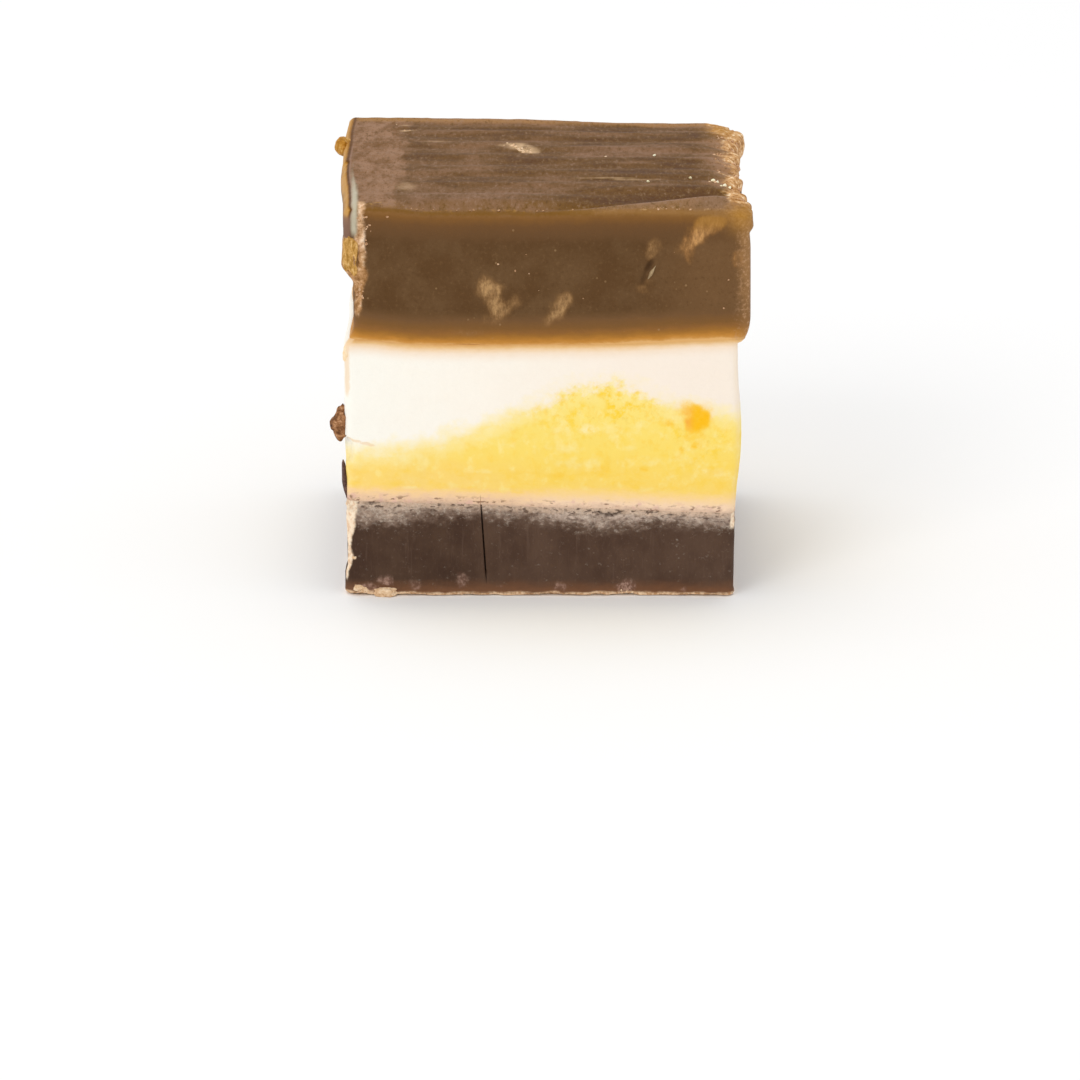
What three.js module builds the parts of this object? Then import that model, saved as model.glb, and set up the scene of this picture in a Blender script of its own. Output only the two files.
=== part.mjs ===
// A cube of layered fudge: a dark chocolate base, a yellow and a white fudge
// middle that swirl into each other, and an overhanging milk chocolate top.
//
// Millimetres, +Z up. The cube stands on the floor at z = 0 with its middle over
// the origin; the cleanest cut face looks towards -Y and +X is on its right.
import * as THREE from 'three';
import { mergeVertices } from 'three/addons/utils/BufferGeometryUtils.js';

// ---- Driving dimensions ------------------------------------------------------
const height = 36.2; // floor to the smooth top
const halfWidth = 17.4; // middle to a cut side, on average
const halfDepth = 15.8; // middle to the front or back cut, on average
const milkSeamHeight = 23.6; // underside of the milk chocolate
const darkSeamHeight = 8.45; // top of the dark chocolate
const seamGap = 0.04; // hairline between two layers

// How each upright cut face stands: its distance from the middle where the
// layers are flush, how far the milk chocolate overhangs it, how far the soft
// middle bellies out, and how much the face has stepped out at turnEnd.
const faces = {
  front: { flush: 15.72, overhang: 0.3, belly: 0.16, turn: 0, turnEnd: 0, phase: 0.4 },
  back: { flush: 15.58, overhang: 0.42, belly: 0.32, turn: -1.2, turnEnd: 14, phase: 2.1 },
  left: { flush: 17.72, overhang: 0, belly: 0.12, turn: 0.75, turnEnd: 10, phase: 3.7 },
  right: { flush: 17.05, overhang: 1.12, belly: 0.42, turn: -0.75, turnEnd: -5, phase: 5.2 },
};
const bellyHeight = 14.5; // where the middle layers stand out most
const bellySpread = 4.4;
const overhangRise = 2.6; // height over which the milk chocolate rolls outwards
const faceWave = { depth: 0.09, along: 2.2, up: 6 }; // slow waviness of the cuts
const leftTurn = { from: 26, to: 33 }; // only the top of the left face steps out

// Edge roundings: the left edge of the top was poured against the tin, and the
// other edges of the top are cut
const pouredEdge = { radius: 1.15, from: -13, to: -16 };
const topEdgeRadius = 0.55;
const footEdgeRadius = 0.35;
const uprightEdgeRadius = 0.75;
const tornEdgeRadius = 1.3; // front left edge of the milk chocolate

// Underside of the milk chocolate: stepped up at the front left corner, climbing
// to the right, and waving from front to back
const milkStep = { rise: 0.5, x: -17, y: -16, spreadX: 3.4, spreadY: 8 };
const milkClimb = { rise: 0.45, from: 4, to: 18 };
const milkWave = { height: 0.3, reach: 5.5 };

// Top of the dark chocolate: it falls to the right and waves from front to back
const darkSlope = -0.034;
const darkWave = { height: 0.35, reach: 7.5 };

// Where the yellow fudge meets the white one: low at the left, climbing to the
// right, with a swell that moves to the left from the front face to the back
const swirlLow = 13.4;
const swirlClimb = { rise: 3.7, from: -18, to: 3.5, backShift: -3 };
const swirlHump = { rise: 2.9, x: 6, spreadLeft: 8, spreadRight: 5, backShift: -13 };
const swirlRoll = { rise: 1.5, turn: 5.2, x: 4, reach: 11 }; // rise and fall to the back
const swirlMargin = 1.4; // the least thickness of either fudge

// Drag wrinkles on the top, running from left to right
const wrinkle = { depth: 0.13, pitch: 4.6, fineShare: 0.4, finePitch: 2 };
const wander = { wide: 0.5, wideReach: 8, narrow: 0.35, narrowReach: 3.7, across: 5 };
const smoothPatch = { edge: -14, end: -7, strength: 0.35 }; // calmer towards the left

// Knife groove on the top: it leaves the front edge left of the middle and
// runs back towards the right side, with a raised lip in front of it
const groove = {
  start: new THREE.Vector2(-3.2, -16),
  end: new THREE.Vector2(17.4, -7.4),
  onset: 10, // length over which it deepens
  depth: 0.5,
  width: 2.6,
  steep: 0.5, // width of its front bank
  lip: 0.16,
};

// Crumbling rim along the right edge of the top, and the low back right corner
const rim = { width: 3.2, drop: 0.45, crumbOut: 0.22, crumbPitch: 4.3, crumbStart: -1.2 };
const rimHeight = { from: 4, to: 0.6 }; // below the top
const backDip = { drop: 0.25, fromX: -6, toX: 14, fromY: 8, toY: 16 };

// Local features of the cut faces: flakes and chunks stand out, chips sink in.
// along is measured on the face (x on the front and back, y on the sides).
const features = [
  { face: 'left', along: -14.4, z: 31.5, long: 2.2, tall: 1.8, out: 0.12 }, // torn flake
  { face: 'left', along: -12, z: 27, long: 22, tall: 3.6, out: -0.9 }, // torn off below it
  { face: 'left', along: -4, z: 35.4, long: 11, tall: 1.6, out: 0.2 }, // rolled rim
  { face: 'left', along: -15.5, z: 13.8, long: 1.6, tall: 1.2, out: -0.55 }, // chipped edge
  { face: 'left', along: -15.5, z: 1.2, long: 3, tall: 1.6, out: 0.22 }, // squashed foot
  { face: 'right', along: 12.4, z: 35, long: 2.8, tall: 2.0, out: 0.8 }, // chunk at the back
  { face: 'right', along: -15.6, z: 35.2, long: 1.7, tall: 1.4, out: 0.42 }, // front knob
  { face: 'front', along: 8.9, z: 30.2, long: 0.9, tall: 1.3, out: -0.35 }, // pit
];
const featureShoulder = 0.55; // share of a feature's half size that is full height
const featureSkirt = 1.1; // where it has died out

// The grid that each layer is shaped from
const columns = { x: 24, y: 22 };
const drawPlan = 0.55; // how much the columns crowd towards the cut faces
const drawRows = 0.6; // how much the rows crowd towards the seams

// ---- Small helpers -------------------------------------------------------------
const { lerp, clamp, smoothstep } = THREE.MathUtils;

function bell(value, centre, spread) {
  return Math.exp(-(((value - centre) / spread) ** 2));
}

// 1 near the centre, falling steeply to 0 at about one half size away
function plateau(offset, halfSize) {
  return 1 - smoothstep(Math.abs(offset / halfSize), featureShoulder, featureSkirt);
}

// Evenly spaced steps drawn closer together towards both ends
function closerAtEnds(t, draw) {
  return t - (draw * Math.sin(2 * Math.PI * t)) / (2 * Math.PI);
}

function turns(distance, pitch) {
  return Math.sin((2 * Math.PI * distance) / pitch);
}

// ---- Heights ---------------------------------------------------------------------
const floor = () => 0;

// A slow wave from front to back, which starts level at the front face
function wave({ height: rise, reach: length }, y) {
  return rise * Math.sin((y + faces.front.flush) / length);
}

function milkSeam(x, y) {
  const atCorner = bell(x, milkStep.x, milkStep.spreadX) * bell(y, milkStep.y, milkStep.spreadY);
  const climb = milkClimb.rise * smoothstep(x, milkClimb.from, milkClimb.to);
  return milkSeamHeight + milkStep.rise * atCorner + climb + wave(milkWave, y);
}

function darkSeam(x, y) {
  return darkSeamHeight + darkSlope * x + wave(darkWave, y);
}

function swirl(x, y) {
  const inward = (y + halfDepth) / (2 * halfDepth); // 0 at the front, 1 at the back
  const humpX = swirlHump.x + swirlHump.backShift * inward;
  const spread = x < humpX ? swirlHump.spreadLeft : swirlHump.spreadRight;
  const hump = swirlHump.rise * bell(x, humpX, spread);
  const climbFrom = swirlClimb.from + swirlClimb.backShift * inward;
  const climb = swirlClimb.rise * smoothstep(x, climbFrom, swirlClimb.to);
  const rolling = Math.sin(swirlRoll.turn * inward) * Math.cos((x - swirlRoll.x) / swirlRoll.reach);
  const lowest = darkSeam(x, y) + swirlMargin;
  const highest = milkSeam(x, y) - swirlMargin;
  return clamp(swirlLow + climb + hump + swirlRoll.rise * rolling, lowest, highest);
}

function grooveRelief(x, y) {
  const run = groove.end.clone().sub(groove.start).normalize();
  const behind = (y - groove.start.y) * run.x - (x - groove.start.x) * run.y;
  const strength = smoothstep(x, groove.start.x, groove.start.x + groove.onset);
  const trough = bell(behind, 0, behind > 0 ? groove.width : groove.steep);
  const lip = groove.lip * smoothstep(-behind, 0, 2 * groove.steep);
  return strength * (lip - groove.depth * trough);
}

function wrinkleRelief(x, y) {
  const narrow = wander.narrow * Math.sin(x / wander.narrowReach + y / wander.across);
  const drift = wander.wide * Math.sin(x / wander.wideReach) + narrow;
  const rows = turns(y + drift, wrinkle.pitch);
  const fine = wrinkle.fineShare * turns(y - drift, wrinkle.finePitch);
  const calm = smoothstep(x, smoothPatch.edge, smoothPatch.end);
  return wrinkle.depth * lerp(smoothPatch.strength, 1, calm) * (rows + fine);
}

function top(x, y) {
  const rimDrop = rim.drop * smoothstep(x, halfWidth - rim.width, halfWidth);
  const crumbs = (2 + turns(y, rim.crumbPitch)) / 3;
  const dipX = smoothstep(x, backDip.fromX, backDip.toX);
  const dip = backDip.drop * dipX * smoothstep(y, backDip.fromY, backDip.toY);
  return height + wrinkleRelief(x, y) + grooveRelief(x, y) - rimDrop * crumbs - dip;
}

// ---- The upright cut faces -------------------------------------------------------
// How far a cut face stands from the middle, at a place along it and a height;
// span is where the face begins
function reach(name, along, span, z) {
  const face = faces[name];
  const share = name === 'left' ? smoothstep(z, leftTurn.from, leftTurn.to) : 1;
  const turned = share * face.turn * smoothstep(along, -span, face.turnEnd);
  const belly = face.belly * bell(z, bellyHeight, bellySpread);
  const roll = clamp((z - milkSeamHeight) / overhangRise, 0, 1);
  const overhang = face.overhang * Math.sqrt(1 - (1 - roll) ** 2);
  const waviness = faceWave.depth * Math.sin(along / faceWave.along + z / faceWave.up + face.phase);
  let out = face.flush + turned + belly + overhang + waviness;
  for (const feature of features.filter((each) => each.face === name)) {
    const near = plateau(along - feature.along, feature.long);
    out += feature.out * near * plateau(z - feature.z, feature.tall);
  }
  if (name === 'right') {
    const crumbs = turns(along - rim.crumbStart, rim.crumbPitch);
    out += rim.crumbOut * crumbs * smoothstep(z, height - rimHeight.from, height - rimHeight.to);
  }
  return out;
}

function uprightRadius(x, y, z) {
  const torn = x < 0 && y < 0 && z > milkSeamHeight + overhangRise / 2;
  return torn ? tornEdgeRadius : uprightEdgeRadius;
}

const sharp = () => 0;

function topRadius(x) {
  const poured = 1 - smoothstep(x, pouredEdge.to, pouredEdge.from);
  return lerp(topEdgeRadius, pouredEdge.radius, poured);
}

// How far inside the start of an edge's rounding a point lies, 0 clear of it to 1 at the face
function intoRounding(distance, radius) {
  return radius > 0 ? Math.max(0, radius - distance) / radius : 0;
}

// ---- A layer -----------------------------------------------------------------------
// The block's grid is carried onto the cut faces, its edges are rounded, and its
// under and upper sides take the heights of the seams that they meet.
function placePoint(layer, u, v, w) {
  const gridX = closerAtEnds(u, drawPlan);
  const gridY = closerAtEnds(v, drawPlan);
  const nominalX = lerp(-halfWidth, halfWidth, gridX);
  const nominalY = lerp(-halfDepth, halfDepth, gridY);
  const low = layer.under(nominalX, nominalY) + layer.lift;
  const high = layer.upper(nominalX, nominalY);
  const z = lerp(low, high, closerAtEnds(w, drawRows));
  const left = reach('left', nominalY, halfDepth, z);
  const right = reach('right', nominalY, halfDepth, z);
  const front = reach('front', nominalX, halfWidth, z);
  const back = reach('back', nominalX, halfWidth, z);
  const x = lerp(-left, right, gridX);
  const y = lerp(-front, back, gridY);

  const upperHalf = z > (low + high) / 2;
  const radius = uprightRadius(x, y, z);
  const edgeRadius = upperHalf ? layer.upperRadius(x) : layer.underRadius(x);
  const excess = new THREE.Vector3(
    intoRounding(Math.min(x + left, right - x), radius),
    intoRounding(Math.min(y + front, back - y), radius),
    intoRounding(Math.min(z - low, high - z), edgeRadius),
  );
  const pull = 1 - 1 / Math.max(1, excess.length());
  const outward = new THREE.Vector3(Math.sign(x), Math.sign(y), upperHalf ? 1 : -1);
  const size = new THREE.Vector3(radius, radius, edgeRadius);
  return new THREE.Vector3(x, y, z).sub(excess.multiply(size).multiply(outward).multiplyScalar(pull));
}

// Split the squares of the under side along the same diagonal as those of the
// upper side, so that the two faces of a seam bend alike
function splitUnderSideAlike(geometry) {
  const underSide = geometry.groups[5];
  const { index } = geometry;
  for (let i = underSide.start; i < underSide.start + underSide.count; i += 6) {
    const first = index.getX(i);
    const opposite = index.getX(i + 4);
    index.setX(i + 2, opposite);
    index.setX(i + 3, first);
  }
}

function layerMesh(name, layer, colour, roughness) {
  const block = new THREE.BoxGeometry(1, 1, 1, columns.x, columns.y, layer.rows);
  block.deleteAttribute('normal');
  block.deleteAttribute('uv');
  const geometry = mergeVertices(block);
  splitUnderSideAlike(geometry);
  const points = geometry.attributes.position;
  const corner = new THREE.Vector3(0.5, 0.5, 0.5);
  for (let i = 0; i < points.count; i += 1) {
    const inBlock = new THREE.Vector3().fromBufferAttribute(points, i).add(corner);
    const point = placePoint(layer, inBlock.x, inBlock.y, inBlock.z);
    points.setXYZ(i, point.x, point.y, point.z);
  }
  geometry.computeVertexNormals();
  const material = new THREE.MeshStandardMaterial({ color: colour, roughness, metalness: 0 });
  const mesh = new THREE.Mesh(geometry, material);
  mesh.name = name;
  return mesh;
}

// ---- The cube -------------------------------------------------------------------------
function darkChocolate() {
  const shape = { under: floor, upper: darkSeam, lift: 0 };
  const layer = { ...shape, underRadius: () => footEdgeRadius, upperRadius: sharp, rows: 5 };
  return layerMesh('dark_chocolate_layer', layer, 0x513e32, 0.6);
}

function yellowFudge() {
  const shape = { under: darkSeam, upper: swirl, lift: seamGap };
  const layer = { ...shape, underRadius: sharp, upperRadius: sharp, rows: 4 };
  return layerMesh('yellow_fudge_layer', layer, 0xfedd70, 0.6);
}

function whiteFudge() {
  const shape = { under: swirl, upper: milkSeam, lift: seamGap };
  const layer = { ...shape, underRadius: sharp, upperRadius: sharp, rows: 5 };
  return layerMesh('white_fudge_layer', layer, 0xfdf2e4, 0.6);
}

function milkChocolate() {
  const shape = { under: milkSeam, upper: top, lift: seamGap };
  const layer = { ...shape, underRadius: sharp, upperRadius: topRadius, rows: 9 };
  return layerMesh('milk_chocolate_layer', layer, 0x654a2f, 0.45);
}

const cube = new THREE.Group();
cube.add(darkChocolate(), yellowFudge(), whiteFudge(), milkChocolate());

export default cube;
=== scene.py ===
"""A hand-cut cube of layered fudge: dark chocolate base, yellow and white fudge
that swirl into each other, and a milk chocolate top with a torn left edge, a
crumbling right rim and drag wrinkles. It stands alone on a pale studio floor.

The shaping functions work in millimetres, +Z up, with the cleanest cut face
towards -Y. Every Blender object is in metres.
"""
import itertools
import math

import bmesh
import bpy
import numpy as np
from mathutils import Euler, Matrix, Vector


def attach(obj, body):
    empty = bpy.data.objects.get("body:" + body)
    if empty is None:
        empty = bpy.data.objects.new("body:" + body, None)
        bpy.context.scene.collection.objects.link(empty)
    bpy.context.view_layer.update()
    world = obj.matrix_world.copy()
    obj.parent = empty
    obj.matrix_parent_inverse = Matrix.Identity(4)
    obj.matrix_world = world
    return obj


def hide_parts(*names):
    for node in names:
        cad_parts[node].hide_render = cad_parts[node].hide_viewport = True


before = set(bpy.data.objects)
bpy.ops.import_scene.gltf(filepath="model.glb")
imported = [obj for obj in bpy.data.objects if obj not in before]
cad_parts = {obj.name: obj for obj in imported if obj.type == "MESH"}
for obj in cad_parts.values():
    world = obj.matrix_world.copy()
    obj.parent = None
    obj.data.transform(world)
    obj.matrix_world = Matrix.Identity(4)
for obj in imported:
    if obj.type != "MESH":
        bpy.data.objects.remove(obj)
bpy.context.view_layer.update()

MM = 0.001

# ---- Sizes of the cube, in millimetres ------------------------------------------
HEIGHT = 36.2  # floor to the smooth top
HALF_WIDTH = 17.4
HALF_DEPTH = 15.8
MILK_SEAM_HEIGHT = 23.6
DARK_SEAM_HEIGHT = 8.45
FRONT_FLUSH = 15.72  # middle to the front cut
SWIRL_HEIGHT = 13.4  # where the yellow fudge meets the white one at the left
LEAST_THICKNESS = 1.4  # of the yellow and the white fudge
YELLOW_BLOCK_HEIGHT = 17  # top of the block that the yellow layer is shaped from

# The cut faces: how far each stands from the middle, how far the top layer hangs over it
# and the yellow layer swells out of it, how far it turns out or in along its width, where
# that turn ends, and the phase of its slow waves
FACES = {
    "front": dict(flush=FRONT_FLUSH, overhang=0.3, belly=0.16, turn=0, turn_end=0, phase=0.4),
    "back": dict(flush=15.58, overhang=0.42, belly=0.32, turn=-1.2, turn_end=14, phase=2.1),
    "left": dict(flush=17.72, overhang=0, belly=0.12, turn=0.75, turn_end=10, phase=3.7),
    "right": dict(flush=17.05, overhang=1.12, belly=0.42, turn=-0.75, turn_end=-5, phase=5.2),
}
LEFT_TURN = (26, 33)  # only the top of the left face steps out
BELLY_HEIGHT = 14.5
BELLY_SPREAD = 4.4
OVERHANG_RISE = 2.6
WAVINESS = 0.09  # of all four cut faces
TOP_EDGE_RADIUS = 0.55
POURED_EDGE_RADIUS = 1.15  # left edge of the top
FOOT_EDGE_RADIUS = 0.35
UPRIGHT_EDGE_RADIUS = 0.75
TORN_EDGE_RADIUS = 1.3
TOUCHING = 1e-4  # a point nearer than this lies on the surface in question
TINY = 1e-6  # keeps divisors off zero
LUMP_CLEARANCE = 0.02  # no crumb goes lower than this above the floor

# Relief of the poured top
WRINKLE_HEIGHT = 0.07
GROOVE_DEPTH = 0.5
GROOVE_START = (-3.2, -15.8)
GROOVE_END = (17.4, -9.6)
GROOVE_BOW = 1.1  # how far the groove bows forward
GROOVE_BOW_AT = 11.5
LIP_HEIGHT = 0.16  # of the lip in front of the groove
RIM_DROP = 0.45  # at the right edge
RIM_LUMP_PITCH = 4.3
RIM_LUMP_SIZE = 0.22
BACK_DIP = 0.25
FRONT_SAG = 0.42

# Flakes and chunks stand out of a cut face and chips sink in: the face, then the
# place along it, the height, the two half sizes and how far it stands out
FEATURES = [
    ("left", -14.4, 31.5, 2.2, 1.8, 0.12),  # torn flake
    ("left", -12, 27, 22, 3.6, -0.9),  # face torn off below it
    ("left", -4, 35.4, 11, 1.6, 0.2),  # rolled rim
    ("left", -15.5, 13.8, 1.6, 1.2, -0.55),  # chipped edge
    ("left", -15.5, 1.2, 3, 1.6, 0.22),  # squashed foot
    ("right", 12.4, 35, 2.8, 2.0, 0.8),  # chunk at the back
    ("right", -15.6, 35.2, 1.7, 1.4, 0.42),  # front knob
    ("front", 8.9, 30.2, 1.1, 1.5, -0.16),  # pit
]
CRACK_TOP = (-5.75, 9.6)  # x and height on the front face
CRACK_FOOT = (-5.2, 1.0)
CRACK_MIDDLE = -5.45  # the grid is finer on both sides of this x
CRACK_DEPTH = 0.4
CRACK_HALF_WIDTH = 0.085

# Marks on the front: x, height, two half sizes, lean and strength
SMUDGES = [
    (-5.1, 28.9, 1.25, 1.05, 0.2, 1.0), (-4.4, 27.7, 0.6, 1.0, -0.3, 0.6),
    (-3.9, 26.9, 1.1, 0.8, -0.2, 0.85), (-2.8, 27.5, 0.7, 0.7, 0, 0.65),
    (-4.6, 25.9, 1.0, 0.5, 0, 0.45), (-5.6, 24.8, 0.4, 0.3, 0, 0.4),
    (1.1, 26.8, 0.7, 1.5, 0.55, 0.85), (1.9, 27.6, 0.6, 0.7, 0.4, 0.55),
    (17.0, 31.5, 0.7, 1.0, 0, 0.5), (13.4, 33.7, 0.9, 1.5, 0.75, 0.95),
    (14.9, 35.0, 0.9, 1.6, 0.9, 0.9), (12.8, 32.3, 0.6, 1.2, 0.1, 0.6),
    (11.7, 32.4, 0.4, 0.6, 0.1, 0.4), (9.4, 32.3, 0.6, 1.0, 0.4, 0.75),
    (8.7, 28.7, 0.7, 0.4, 0.4, 0.45), (-7.0, 24.7, 1.0, 0.5, 0, 0.6),
    (9.3, 29.4, 0.45, 0.5, 0, 0.4),
]
# Painted shade: these patches are sunk in a little and painted dark as their shade.
HOLLOWS = [  # in the pit and in the torn edge
    (9.15, 30.8, 0.26, 0.7, 0.5, 1.0), (8.7, 29.7, 0.22, 0.5, 0.4, 0.55), (-16.55, 31.5, 0.2, 1.0, 0, 0.9),
]
ORANGE_SPOTS = [
    (13.7, 16.8, 1.3, 1.1, 0, 1.0), (12.7, 17.2, 1.1, 1.0, 0, 0.7), (13.4, 15.3, 1.0, 1.3, 0, 0.4),
    (11.0, 16.3, 0.6, 0.4, 0, 0.6), (13.2, 14.2, 0.35, 0.3, 0, 0.55), (12.2, 13.9, 0.3, 0.35, 0, 0.5),
    (5.0, 11.9, 1.2, 0.5, 0, 0.42), (1.4, 11.5, 0.8, 0.4, 0, 0.4), (8.9, 12.0, 0.4, 0.25, 0, 0.45),
    (11.6, 13.2, 0.5, 0.3, 0, 0.35),
]
PALE_SPOTS = [
    (4.0, 15.7, 1.0, 0.5, 0, 0.9), (3.7, 9.9, 0.8, 0.4, 0, 0.9), (-6.0, 11.8, 1.2, 0.3, 0, 0.6),
    (-12.0, 10.2, 1.1, 0.25, 0, 0.9), (15.4, 11.6, 1.6, 0.7, 0, 0.7), (-16.5, 9.4, 1.0, 0.8, 0, 1.0),
    (0.4, 14.1, 0.5, 0.6, 0, 0.5), (-1.5, 17.0, 0.6, 0.6, 0, 0.5),
]
# The slits are sunk in a little and painted dark as their shade.
SLITS = [  # between the dark chocolate and the yellow fudge
    (-15.3, 8.85, 0.75, 0.1, 0, 1.0), (4.95, 7.85, 0.4, 0.1, 0.5, 1.0), (5.7, 7.65, 0.5, 0.12, 0, 1.0),
    (6.55, 7.8, 0.5, 0.1, -0.35, 0.9), (8.9, 8.2, 0.3, 0.09, 0.2, 0.7), (11.3, 7.7, 0.4, 0.1, 0.25, 0.8),
    (12.3, 7.6, 0.4, 0.09, -0.2, 0.7), (15.4, 7.9, 0.25, 0.1, 0, 0.8), (-13.0, 8.5, 0.2, 0.13, 0, 0.7),
    (-8.2, 8.5, 0.2, 0.12, 0, 0.7),
]
FOOT_CLUSTERS = [
    (-14.3, 1.4, 0.75, 0.5, 0.3, 1.0), (-15.8, 0.7, 1.3, 0.5, 0, 0.8), (-7.4, 1.5, 0.7, 0.65, 0, 0.75),
    (1.4, 0.9, 0.6, 0.55, 0, 0.7), (7.3, 0.75, 0.85, 0.75, -0.5, 0.95), (-11.6, 1.0, 0.6, 0.4, 0, 0.6),
    (-3.9, 0.9, 0.4, 0.3, 0, 0.5), (12.5, 0.7, 0.6, 0.3, 0, 0.45),
]
# Marks on the top: x, y, two half sizes, lean and strength
# The two long, thin streaks near y -6 are painted highlight lines; the others are pale marks.
TOP_STREAKS = [
    (-3.5, 5.3, 0.7, 0.4, 0, 0.6), (-2.5, 4.9, 0.9, 0.9, -0.3, 1.0), (-1.5, 3.7, 0.8, 0.9, 0.5, 1.0),
    (-1.1, 3.1, 0.5, 0.5, 0, 0.8), (-12.7, 10.6, 0.7, 0.3, 0, 0.8), (-13.0, 12.6, 0.5, 0.3, 0, 0.55),
    (-9.9, 6.6, 1.2, 0.25, 0, 0.4), (5.6, -5.9, 2.6, 0.16, 0, 0.5), (8.0, -6.3, 2.0, 0.2, 0, 0.55),
    (-12.4, -9.2, 0.8, 1.2, 0, 0.4),
]

# Grains that lie on the cube one by one: x, height and radius on the front
FACE_GRAINS = [
    (-13.8, 35.35, 0.15), (-1.6, 31.9, 0.09), (-4.1, 31.0, 0.08), (-2.6, 30.4, 0.09),
    (-1.4, 30.15, 0.11), (-1.2, 30.3, 0.07), (11.4, 32.1, 0.07), (-0.5, 28.6, 0.06),
    (3.4, 27.9, 0.06), (16.2, 29.6, 0.08), (15.8, 27.0, 0.08),
]
FOOT_GRAINS = [
    (-14.4, 1.45, 0.16), (-14.1, 1.2, 0.14), (7.4, 0.4, 0.2), (6.9, 0.55, 0.15),
    (7.9, 0.35, 0.16), (-17.0, 3.6, 0.2),
]
SUGAR_GRAINS = [  # x, y and radius on the top
    (15.0, -6.6, 0.24), (15.4, -6.9, 0.16), (16.0, -7.6, 0.28), (16.4, -7.9, 0.22),
    (15.7, -7.8, 0.16), (9.2, -7.3, 0.12), (13.0, -5.9, 0.14), (9.9, 1.6, 0.12),
]
LOOSE_FLAKES = [(-13.0, 10.8), (-12.5, 10.7), (-13.8, 13.0), (5.5, 1.3)]  # x and y on the top

# How many crumbs are scattered at each place
RIM_TOP_CRUMBS = 80
RIM_SIDE_CRUMBS = 40
FRONT_EDGE_CRUMBS = 40
TORN_EDGE_CRUMBS = 60
FLAKE_CRUMBS = 22
FLOOR_CRUMBS = 26

# The grids that the layers are shaped from
CUTS_ACROSS = (13, 13)  # every cell is cut, then every new cell again
CUTS_DEEP = (12, 13)
MILK_ROWS = 66
WHITE_ROWS = 44
YELLOW_ROWS = 40
DARK_ROWS = 48
CRACK_CUTS = 3  # more cuts where the crack runs
SEEN_DEPTH = 0.6  # a side that lies on another layer is hidden further in than this
HIDDEN_FACES_KEPT = 0.03
LAYER_SMOOTHING = 62  # degrees between faces that still look like one surface
CRUMB_SMOOTHING = 50


# ---- Curves -------------------------------------------------------------------------
def ease(value, low, high):
    """0 below low and 1 above high, with a smooth climb between."""
    share = np.clip((value - low) / (high - low), 0, 1)
    return share * share * (3 - 2 * share)


def bell(value, centre, spread):
    """1 at the centre, falling off to both sides."""
    return np.exp(-(((value - centre) / spread) ** 2))


def turns(distance, pitch):
    """A wave from -1 to 1 that repeats after each pitch."""
    return np.sin(2 * np.pi * distance / pitch)


def plateau(offset, half_size):
    """1 over the middle of a patch, with a soft edge at its half size."""
    return 1 - ease(np.abs(offset / half_size), 0.55, 1.1)


# Fixed random values at the corners of a grid, which all the relief is blended from
LUMPS = np.random.default_rng(11).uniform(-1, 1, (64, 64, 64))


def grain(points, size, start=0.0):
    """Smooth random relief from -1 to 1; size is one length or one for each axis."""
    place = points / np.asarray(size) + start
    cell = np.floor(place).astype(int)
    part = place - cell
    part = part * part * (3 - 2 * part)
    total = np.zeros(len(points))
    for corner in itertools.product((0, 1), repeat=3):
        near = np.where(corner, part, 1 - part).prod(axis=1)
        i, j, k = ((cell + corner) % len(LUMPS)).T
        total += near * LUMPS[i, j, k]
    return total


# ---- Heights of the seams and the top -----------------------------------------------
def floor_level(x, y):
    """The underside of the cube."""
    return np.zeros_like(x)


def milk_seam(x, y):
    """Where the white fudge meets the milk chocolate."""
    left_step = 0.5 * bell(x, -17, 3.4) * bell(y, -16, 8)
    right_rise = 0.45 * ease(x, 4, 18)
    wave = 0.3 * np.sin((y + FRONT_FLUSH) / 5.5)
    return MILK_SEAM_HEIGHT + left_step + right_rise + wave


def dark_seam(x, y):
    """Where the dark chocolate meets the yellow fudge."""
    slope = -0.034 * x
    wave = 0.35 * np.sin((y + FRONT_FLUSH) / 7.5)
    return DARK_SEAM_HEIGHT + slope + wave


def share_inward(y):
    """0 at the front of the cube and 1 at the back."""
    return (y + HALF_DEPTH) / (2 * HALF_DEPTH)


def hump_place(y):
    """The x at which the yellow fudge swells highest; it drifts left towards the back."""
    return 6 - 13 * share_inward(y)


def swirl(x, y):
    """Where the yellow fudge meets the white one."""
    inward = share_inward(y)
    hump_at = hump_place(y)
    hump = 2.9 * bell(x, hump_at, np.where(x < hump_at, 8, 5))
    climb = 3.7 * ease(x, -18 - 3 * inward, 3.5)
    roll = 1.5 * np.sin(5.2 * inward) * np.cos((x - 4) / 11)
    lowest = dark_seam(x, y) + LEAST_THICKNESS
    highest = milk_seam(x, y) - LEAST_THICKNESS
    return np.clip(SWIRL_HEIGHT + climb + hump + roll, lowest, highest)


def behind_groove(x, y):
    """How far a place on the top lies behind the knife groove."""
    run = np.subtract(GROOVE_END, GROOVE_START)
    run = run / np.hypot(*run)
    across = (y - GROOVE_START[1]) * run[0] - (x - GROOVE_START[0]) * run[1]
    return across + GROOVE_BOW * bell(x, GROOVE_BOW_AT, np.where(x < GROOVE_BOW_AT, 6, 5))


def groove_strength(x):
    """The groove starts shallow and is at its full depth ten millimetres on."""
    return ease(x, GROOVE_START[0], GROOVE_START[0] + 10)


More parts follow.
